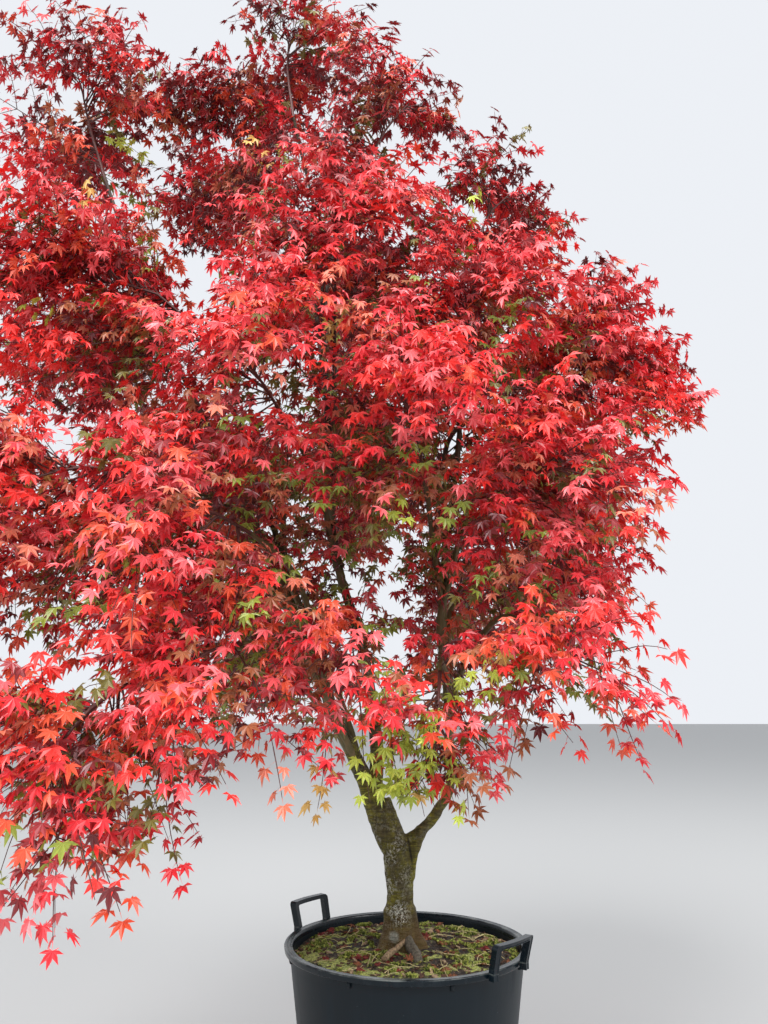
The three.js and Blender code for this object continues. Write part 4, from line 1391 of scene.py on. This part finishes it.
def curved(starts, directions, lengths, sag, points, chance, wander):
    """Lines that leave in a direction, sag under their weight and stray a little."""
    share = np.linspace(0, 1, points)[None, :, None]
    reach = directions[:, None, :] * lengths[:, None, None] * share
    fall = UP * sag * lengths[:, None, None] * share**2
    stray = chance.normal(0, 1, (len(starts), 1, 3)) * wander * lengths[:, None, None]
    bend = stray * np.sin(math.pi * share)
    return starts[:, None, :] + reach - fall + bend


def points_on(line, share):
    """The places at the given shares of a line of points."""
    knots = np.linspace(0, 1, len(line))
    return np.stack([np.interp(share, knots, line[:, axis]) for axis in range(3)], axis=-1)


# Where the sprays that are still yellow-green hang, in front of the fork of the trunk and over it
FORK_SPRAYS = np.array([-0.010, -0.380, 0.960])
FORK_SPRAYS_RADIUS = 0.13
LOWEST_BY_FORK = 0.88


def zone_shares(bough, place):
    """How much a spray belongs to the outside, inside, top, low part and fork of the crown."""
    outward = unit((bough.middle - CROWN_AXIS) * LEVEL)
    offset = (place - bough.middle) / bough.size
    out = offset @ outward + 0.35 * offset[2]
    inside = 1 / (1 + math.exp(6 * (out + np.interp(place[2], (1.2, 2.4), (0.20, 0.42)))))
    top = 1 / (1 + math.exp(-7 * (place[2] - 2.62)))
    low = 1 / (1 + math.exp(9 * (place[2] - 1.35)))
    inside *= 1 - 0.6 * top
    fork = math.exp(-(np.linalg.norm(place - FORK_SPRAYS) / FORK_SPRAYS_RADIUS)**2)
    rest = (1 - inside) * (1 - fork)
    return np.array([
        rest * (1 - top) * (1 - low),
        inside * (1 - fork),
        rest * top,
        rest * (1 - top) * low,
        fork,
    ])


def choose_tint(tints, shares, chance):
    """Deals a tint to a spray by the zone it grows in."""
    table = np.array([tint.shares for tint in tints]).T
    table = table / table.sum(axis=1, keepdims=True)
    weights = shares @ table
    return int(chance.choice(len(tints), p=weights / weights.sum()))


def grow_sprays(sprays, starts, directions, lengths, radius, bough, tints, chance):
    """Grows side twigs and gives each its pairs of leaves, all of one tint."""
    lines = curved(starts, directions, lengths, SIDE_TWIG_SAG, SIDE_TWIG_POINTS, chance, 0.035)
    count = len(starts)
    sprays.add_twigs(lines, np.full(count, radius), np.full(count, SIDE_TWIG_END_RADIUS))
    across, over = frames_along(lines)
    middle = SIDE_TWIG_POINTS // 2
    for line, sideways, upward, length in zip(lines, across[:, middle], over[:, middle], lengths):
        pairs = max(2, int(round(length / sprays.settings.leaf_gap)))
        place = points_on(line, (np.arange(pairs) + 0.55) / pairs)
        along = unit(line[-1] - line[0])
        turn = np.where(np.arange(pairs) % 2 == 0, 0.25, 1.15)[:, None]
        pair = sideways * np.cos(turn) + upward * np.sin(turn)
        roots = np.concatenate([place, place, line[-1:]])
        headings = np.concatenate([along * 0.55 + pair, along * 0.55 - pair, along[None]])
        tint = choose_tint(tints, zone_shares(bough, line[middle]), chance)
        sprays.add_leaves(roots, unit(headings), np.full(len(roots), tint), chance)


def room_outside(bough):
    """How far side twigs may reach past a mass's space: not at all near the trunk's fork."""
    if bough.middle[2] < 1.1 and np.linalg.norm(bough.middle[:2]) < 0.45:
        return 0.0
    return 0.05 if bough.pitch > 0 else 0.12


def grow_mass(sprays, bough, seed, tints):
    """Grows one mass of foliage from the tip of its bough."""
    chance = np.random.default_rng(seed)
    settings = sprays.settings
    bulk = np.prod(bough.size) / np.prod(FULL)
    weeping = bough.pitch < WEEPING_PITCH
    count = int(round(settings.twigs * bulk**(2 / 3) * (WEEPING_TWIGS if weeping else 1.0)))
    place = np.arange(count)
    share = FIRST_TWIG + (LAST_TWIG - FIRST_TWIG) * ((GOLDEN_SHARE * (place + 0.5)) % 1)
    roots = bough.stem.at(share)
    along = bough.stem.along(share)
    lean = np.radians(TWIG_LEAN * (1.1 - 0.5 * share) * (WEEPING_LEAN if weeping else 1.0))[:, None]
    spin = (GOLDEN_ANGLE * place + 0.6 * chance.random(count))[:, None]
    directions = leaning(along, lean, spin)
    directions = unit(directions + chance.normal(0, 0.16, (count, 3)))
    room = np.minimum(room_inside(bough, roots, directions, 0.02), room_in_box(roots, directions, 0.05))
    lengths = np.minimum(room, LONGEST_TWIG) * chance.uniform(0.78, 1.0, count)
    kept = lengths > SHORTEST_TWIG
    roots, directions, lengths = roots[kept], directions[kept], lengths[kept]
    lines = curved(roots, directions, lengths, TWIG_SAG, TWIG_POINTS, chance, 0.055)
    sprays.add_twigs(lines, 0.0016 + 0.0042 * lengths, np.full(len(lines), 0.0009))
    stem = bough.stem.at(np.linspace(0, 1, TWIG_POINTS))[None]
    sprays.add_twigs(stem, np.array([BOUGH_TIP_RADIUS]), np.array([STEM_END_RADIUS]))
    starts, headings, reaches = side_twigs(lines, lengths, settings, chance)
    if bough.pitch < 0:
        reaches = reaches * (1 + 0.5 * np.clip(-headings[:, 2], 0, 1))
    room = room_inside(bough, starts, headings, -0.02) + room_outside(bough)
    reaches = np.minimum(reaches, room)
    reaches = np.minimum(reaches, room_in_box(starts, headings, 0.025))
    kept = (reaches > SHORTEST_SIDE_TWIG) & inside_space(bough, starts, 0.03) & ~over_fork(starts)
    grow_sprays(sprays, starts[kept], headings[kept], reaches[kept], 0.0014, bough, tints, chance)


def leaning(along, lean, spin):
    """Directions that lean away from given ones, each turned round it by its own spin."""
    across, over = sides_of(along)
    return along * np.cos(lean) + (across * np.cos(spin) + over * np.sin(spin)) * np.sin(lean)


def side_twigs(lines, lengths, settings, chance):
    """Side twigs in pairs along each twig, shorter towards its tip, and one that goes on from the tip."""
    across, over = frames_along(lines)
    pieces = lines.shape[1] - 1
    starts = []
    headings = []
    reaches = []
    for line, sideways, upward, length in zip(lines, across, over, lengths):
        pairs = max(1, int(round(length / settings.twig_gap)))
        for pair in range(pairs):
            share = 0.08 + 0.86 * (pair + 0.5) / pairs
            place = points_on(line, share)
            step = min(int(share * pieces), pieces - 1)
            along = unit(line[step + 1] - line[step])
            turn = chance.normal(0.0, 0.35) + (0.9 if pair % 2 else 0.0)
            side = sideways[step] * math.cos(turn) + upward[step] * math.sin(turn)
            for sign in (-1, 1):
                lean = math.radians(chance.normal(SIDE_TWIG_LEAN, 8))
                reach = 0.085 + 0.30 * length * (1 - 0.55 * share)
                starts.append(place)
                headings.append(along * math.cos(lean) + side * sign * math.sin(lean))
                reaches.append(reach * chance.uniform(0.75, 1.15))
        starts.append(line[-1])
        headings.append(unit(line[-1] - line[-2]))
        reaches.append(chance.uniform(0.06, 0.11))
    return np.array(starts), unit(np.array(headings)), np.array(reaches)


# Length of the shoots that fill the inside of the crown, by their height: short near the fork. Further
# out than OUTER_START from the crown's middle they are longer, fully so after OUTER_WIDTH more.
SHOOT_HEIGHTS = (1.10, 1.50, 1.90, 2.60, 3.20)
SHOOT_LENGTHS = (0.08, 0.20, 0.42, 0.40, 0.26)
OUTER_SHOOT = 0.34
OUTER_START = 0.28
OUTER_WIDTH = 0.30


def grow_inner_shoots(sprays, boughs, tints):
    """Shoots on the limbs inside the crown, which keep the last olive and bronze leaves."""
    chance = np.random.default_rng(SHOOT_SEED)
    for bough in boughs:
        count = sprays.settings.inner_shoots * (4 if bough.bends else 2 if bough.pitch < 0 else 1)
        share = 0.25 + 0.70 * (np.arange(count) + chance.random(count)) / count
        roots = bough.line.at(share)
        along = bough.line.along(share)
        spin = (GOLDEN_ANGLE * np.arange(count))[:, None]
        lean = chance.uniform(0.7, 1.3, count)[:, None]
        outward = (roots - CROWN_AXIS) * LEVEL
        outer = np.clip((np.linalg.norm(outward, axis=1) - OUTER_START) / OUTER_WIDTH, 0, 1)
        directions = leaning(along, lean, spin) + UP * 0.25 + unit(outward) * 0.5 * outer[:, None]
        directions = unit(directions)
        inner_lengths = np.interp(roots[:, 2], SHOOT_HEIGHTS, SHOOT_LENGTHS)
        lengths = np.maximum(inner_lengths, OUTER_SHOOT * outer) * chance.uniform(0.65, 1.1, count)
        grown = (roots[:, 2] > SHOOT_HEIGHTS[0]) | (outer > 0.3)
        roots, directions, lengths = roots[grown], directions[grown], lengths[grown]
        if len(roots) == 0:
            continue
        lines = curved(roots, directions, lengths, 0.08, TWIG_POINTS, chance, 0.06)
        sprays.add_twigs(lines, 0.0016 + 0.0036 * lengths, np.full(len(roots), 0.0010))
        starts, headings, reaches = side_twigs(lines, lengths, sprays.settings, chance)
        grow_sprays(sprays, starts, headings, reaches * 0.85, 0.0013, bough, tints, chance)


def clear_of_wood(points, boughs, gap):
    """Which points lie clear of the trunk and the limbs."""
    clear = np.ones(len(points), dtype=bool)
    share = np.linspace(0, 1, 60)
    at_once = 4000
    for bough in boughs:
        places = bough.line.at(share)
        thick = bough_radius(bough, share) + gap
        for start in range(0, len(points), at_once):
            part = slice(start, start + at_once)
            away = np.linalg.norm(points[part, None, :] - places[None], axis=2)
            clear[part] &= (away > thick[None]).all(axis=1)
    return clear


def over_fork(points):
    """Which points hang so low that they would hide the fork of the trunk from the front."""
    x, y, z = points.T
    return (z < LOWEST_BY_FORK) & (x > -0.15) & (x < 0.085) & (y < 0)


def inside_box(points):
    """Which leaves lie wholly inside the solids' box."""
    low, high = (np.array(corner) for corner in CAD_BOX)
    return ((points > low) & (points < high)).all(axis=(1, 2))


def make_twigs(sprays, settings, nodes):
    """The twigs, joined into a few pieces: the long ones five-sided and the side twigs three-sided."""
    kinds = (("short", SIDE_TWIG_POINTS, 3), ("long", TWIG_POINTS, 5))
    for kind, points, sides in kinds:
        chosen = [place for place, lines in enumerate(sprays.lines) if lines.shape[1] == points]
        lines = np.concatenate([sprays.lines[place] for place in chosen])
        radii = np.concatenate([sprays.radii[place] for place in chosen])
        most = MOST_TRIANGLES // ((points - 1) * sides * 2)
        for number, start in enumerate(range(0, len(lines), most)):
            part = slice(start, start + most)
            piece = mesh_object(f"twigs_{kind}_{number + 1}", *tubes(lines[part], radii[part], sides))
            finish_piece(piece, twig_bark(settings.twig_colour), nodes)


def make_leaves(sprays, boughs, tints, nodes):
    """The leaves, joined by tint."""
    chance = np.random.default_rng(LEAF_SEED)
    roots = np.concatenate(sprays.roots)
    centres = np.concatenate(sprays.centres)
    forward = np.concatenate(sprays.forwards)
    roll = np.concatenate(sprays.rolls)
    size = np.concatenate(sprays.sizes)
    tint = np.concatenate(sprays.tints)
    variant = chance.integers(0, LEAF_VARIANTS, len(roots))
    whole = blade_points(centres, forward, roll, size, variant)
    kept = inside_box(whole) & clear_of_wood(centres, boughs, 0.006) & ~over_fork(centres)
    most = MOST_TRIANGLES // (LEAF_SHAPES.shape[1] - 1)
    for number, kind in enumerate(tints):
        chosen = np.flatnonzero(kept & (tint == number))
        for part, start in enumerate(range(0, len(chosen), most)):
            some = chosen[start:start + most]
            measures = (each[some] for each in (roots, centres, forward, roll, size, variant))
            vertices, faces = leaves_with_stalks(*measures)
            piece = mesh_object(f"leaves_{kind.name}_{part + 1}", vertices, faces, smooth=False)
            finish_piece(piece, leaf_skin(f"leaf_{kind.name}", kind.colour), nodes)


# Stage


def make_floor(settings):
    """A plain pale floor."""
    half = settings.floor_size / 2
    corners = np.array([(-1, -1, 0), (1, -1, 0), (1, 1, 0), (-1, 1, 0)]) * half
    floor = mesh_object("floor", corners, np.array([(0, 1, 2, 3)]), smooth=False)
    nodes = Nodes("floor")
    floor.data.materials.append(nodes.finish(Base_Color=(*settings.floor_colour, 1), Roughness=0.9))


def make_sky(settings):
    """The even light of an overcast sky."""
    world = bpy.data.worlds.new("sky")
    world.use_nodes = True
    background = world.node_tree.nodes["Background"]
    background.inputs["Color"].default_value = (*settings.sky_colour, 1)
    background.inputs["Strength"].default_value = settings.sky_strength
    bpy.context.scene.world = world


def make_light(name, place, target, size, power):
    """A large soft light that faces a place."""
    data = bpy.data.lights.new(name, "AREA")
    data.shape = "DISK"
    data.size = size
    data.energy = power
    light = add_object(name, data)
    light.location = place
    light.rotation_euler = (Vector(target) - Vector(place)).to_track_quat("-Z", "Y").to_euler()


def make_camera():
    """The camera where the photograph was taken from."""
    data = bpy.data.cameras.new("camera")
    data.sensor_width = SENSOR_WIDTH
    data.lens = SENSOR_WIDTH * CAMERA_FOCAL_PIXELS / PHOTO_HEIGHT
    camera = add_object("camera", data)
    camera.location = CAMERA_PLACE
    camera.rotation_euler = (math.radians(90 + CAMERA_PITCH), 0, 0)
    bpy.context.scene.camera = camera


# Settings that a user would change


def length_setting(name, description, default):
    """A length in metres."""
    return bpy.props.FloatProperty(name=name, description=description, default=default, unit="LENGTH")


def number_setting(name, description, default):
    """A number, or with a whole default a count."""
    kind = bpy.props.IntProperty if isinstance(default, int) else bpy.props.FloatProperty
    return kind(name=name, description=description, default=default)


def colour_setting(name, description, default):
    """A colour, as light from 0 to 1."""
    return bpy.props.FloatVectorProperty(
        name=name, description=description, default=default, subtype="COLOR")


class MapleTubSettings(bpy.types.PropertyGroup):
    """Sizes and colour of the tub."""

    height: length_setting("Height", "From the ground to the top of the lip", 0.480)
    base_radius: length_setting("Base radius", "Radius of the flat underside", 0.245)
    neck_radius: length_setting("Neck radius", "Radius of the wall just under the lip", 0.310)
    lip_radius: length_setting("Lip radius", "Radius of the lip's outside", 0.325)
    left_handle: number_setting("Left handle", "Where the left handle stands, from +X in degrees", 144.0)
    right_handle: number_setting(
        "Right handle", "Where the right handle stands, from +X in degrees", -44.0)
    handle_width: length_setting("Handle width", "Width of each handle over its posts", 0.136)
    handle_rise: length_setting("Handle rise", "How far each handle stands above the lip", 0.062)
    handle_foot: length_setting("Handle foot", "How far the posts reach down the lip", 0.016)
    handle_post: length_setting("Handle post", "Width of each post", 0.015)
    handle_bar: length_setting("Handle bar", "Height of the bar", 0.010)
    handle_depth: length_setting("Handle depth", "How far each handle stands out from the lip", 0.018)
    handle_lean: number_setting("Handle lean", "How far each handle leans outward, in degrees", 15.0)
    colour: colour_setting("Colour", "Colour of the plastic", (0.0020, 0.0062, 0.0100))


class MapleGroundSettings(bpy.types.PropertyGroup):
    """What lies in the tub."""

    radius: length_setting("Radius", "Radius of the compost's top", 0.2985)
    earth: colour_setting("Compost", "Colour of the bare compost", (0.020, 0.014, 0.010))
    tufts: number_setting("Moss tufts", "Tufts of moss of each of three tints", 2100)
    chips: number_setting("Chips", "Bits of bark and old leaf", 520)


class MapleWoodSettings(bpy.types.PropertyGroup):
    """Detail and colours of the wood."""

    wood_detail: length_setting("Detail", "Size of the faces of the trunk's skin", 0.0034)
    bark: colour_setting("Old bark", "Colour of the trunk", (0.100, 0.078, 0.030))
    young_bark: colour_setting("Young bark", "Colour of the side boughs", (0.040, 0.022, 0.017))


class MapleFoliageSettings(bpy.types.PropertyGroup):
    """How dense the foliage is."""

    leaf_size: length_setting("Leaf size", "From the stalk to the tip of the middle lobe", 0.031)
    droop: number_setting("Droop", "How far the leaves hang below level, in degrees", 46.0)
    twigs: number_setting("Twigs", "Twigs on the stem of a full mass", 22)
    twig_gap: length_setting("Twig gap", "Distance between pairs of side twigs", 0.085)
    leaf_gap: length_setting("Leaf gap", "Distance between pairs of leaves", 0.037)
    inner_shoots: number_setting("Inner shoots", "Shoots on each side bough inside the crown", 4)
    twig_colour: colour_setting("Twigs' colour", "Colour of the finest twigs", (0.085, 0.022, 0.018))


class MapleStageSettings(bpy.types.PropertyGroup):
    """Floor and light."""

    floor_size: length_setting("Floor", "Width of the floor", 240)
    floor_colour: colour_setting("Floor colour", "Colour of the floor", (0.44, 0.44, 0.435))
    sky_colour: colour_setting("Sky colour", "Colour of the light all round", (0.92, 0.95, 1.0))
    sky_strength: number_setting("Sky strength", "Brightness of the sky", 0.92)


# Operators


class MAPLE_OT_tub(bpy.types.Operator):
    """Builds the tub"""

    bl_idname = "maple.tub"
    bl_label = "Tub"

    def execute(self, context):
        make_tub(context.scene.maple_tub)
        return {"FINISHED"}


class MAPLE_OT_handles(bpy.types.Operator):
    """Builds the tub's two handles"""

    bl_idname = "maple.handles"
    bl_label = "Handles"

    def execute(self, context):
        settings = context.scene.maple_tub
        material = bpy.data.materials["tub_plastic"]
        for side, azimuth in (("left", settings.left_handle), ("right", settings.right_handle)):
            make_handle(settings, side, azimuth, material)
        return {"FINISHED"}


class MAPLE_OT_ground(bpy.types.Operator):
    """Builds the compost, the moss and what lies on it"""

    bl_idname = "maple.ground"
    bl_label = "Compost and moss"

    def execute(self, context):
        settings = context.scene.maple_ground
        make_soil(settings)
        make_litter(settings)
        return {"FINISHED"}


class MAPLE_OT_wood(bpy.types.Operator):
    """Builds the trunk, the main limbs and the side boughs"""

    bl_idname = "maple.wood"
    bl_label = "Trunk and boughs"

    def execute(self, context):
        settings = context.scene.maple_wood
        boughs = grow_boughs()
        make_main_wood(boughs, settings)
        make_stubs()
        make_side_boughs(boughs, settings)
        return {"FINISHED"}


class MAPLE_OT_foliage(bpy.types.Operator):
    """Grows the twigs and leaves of every mass"""

    bl_idname = "maple.foliage"
    bl_label = "Foliage"

    def execute(self, context):
        settings = context.scene.maple_foliage
        boughs = grow_boughs()
        tints = all_tints()
        sprays = Sprays(settings)
        for number, bough in enumerate(boughs):
            grow_mass(sprays, bough, MASS_SEED + number, tints)
        grow_inner_shoots(sprays, boughs, tints)
        nodes = [f"foliage_{bough.name}" for bough in boughs]
        make_twigs(sprays, settings, nodes)
        make_leaves(sprays, boughs, tints, nodes)
        return {"FINISHED"}


class MAPLE_OT_stage(bpy.types.Operator):
    """Builds the floor, the light and the camera"""

    bl_idname = "maple.stage"
    bl_label = "Stage"

    def execute(self, context):
        settings = context.scene.maple_stage
        make_floor(settings)
        make_sky(settings)
        for light in LIGHTS:
            make_light(*light)
        make_camera()
        context.scene.view_settings.view_transform = "Standard"
        return {"FINISHED"}


class MAPLE_PT_panel(bpy.types.Panel):
    """Lists the steps that build the tree"""

    bl_label = "Potted Japanese maple"
    bl_idname = "MAPLE_PT_panel"
    bl_space_type = "VIEW_3D"
    bl_region_type = "UI"
    bl_category = "Maple"

    def draw(self, context):
        for group, operator in STEPS:
            box = self.layout.box()
            settings = getattr(context.scene, group)
            for name in settings.bl_rna.properties.keys():
                if name not in ("rna_type", "name"):
                    box.prop(settings, name)
            box.operator(operator)


STEPS = (
    ("maple_tub", "maple.tub"),
    ("maple_tub", "maple.handles"),
    ("maple_ground", "maple.ground"),
    ("maple_wood", "maple.wood"),
    ("maple_foliage", "maple.foliage"),
    ("maple_stage", "maple.stage"),
)

SETTINGS = (
    ("maple_tub", MapleTubSettings),
    ("maple_ground", MapleGroundSettings),
    ("maple_wood", MapleWoodSettings),
    ("maple_foliage", MapleFoliageSettings),
    ("maple_stage", MapleStageSettings),
)

CLASSES = (
    *(group for _, group in SETTINGS),
    MAPLE_OT_tub,
    MAPLE_OT_handles,
    MAPLE_OT_ground,
    MAPLE_OT_wood,
    MAPLE_OT_foliage,
    MAPLE_OT_stage,
    MAPLE_PT_panel,
)


def register():
    for kind in CLASSES:
        bpy.utils.register_class(kind)
    for name, group in SETTINGS:
        setattr(bpy.types.Scene, name, bpy.props.PointerProperty(type=group))


def unregister():
    for name, _ in SETTINGS:
        delattr(bpy.types.Scene, name)
    for kind in reversed(CLASSES):
        bpy.utils.unregister_class(kind)


def main():
    """Builds the whole tree."""
    register()
    bpy.ops.maple.tub()
    bpy.ops.maple.handles()
    bpy.ops.maple.ground()
    bpy.ops.maple.wood()
    bpy.ops.maple.foliage()
    bpy.ops.maple.stage()


if __name__ == "__main__":
    main()
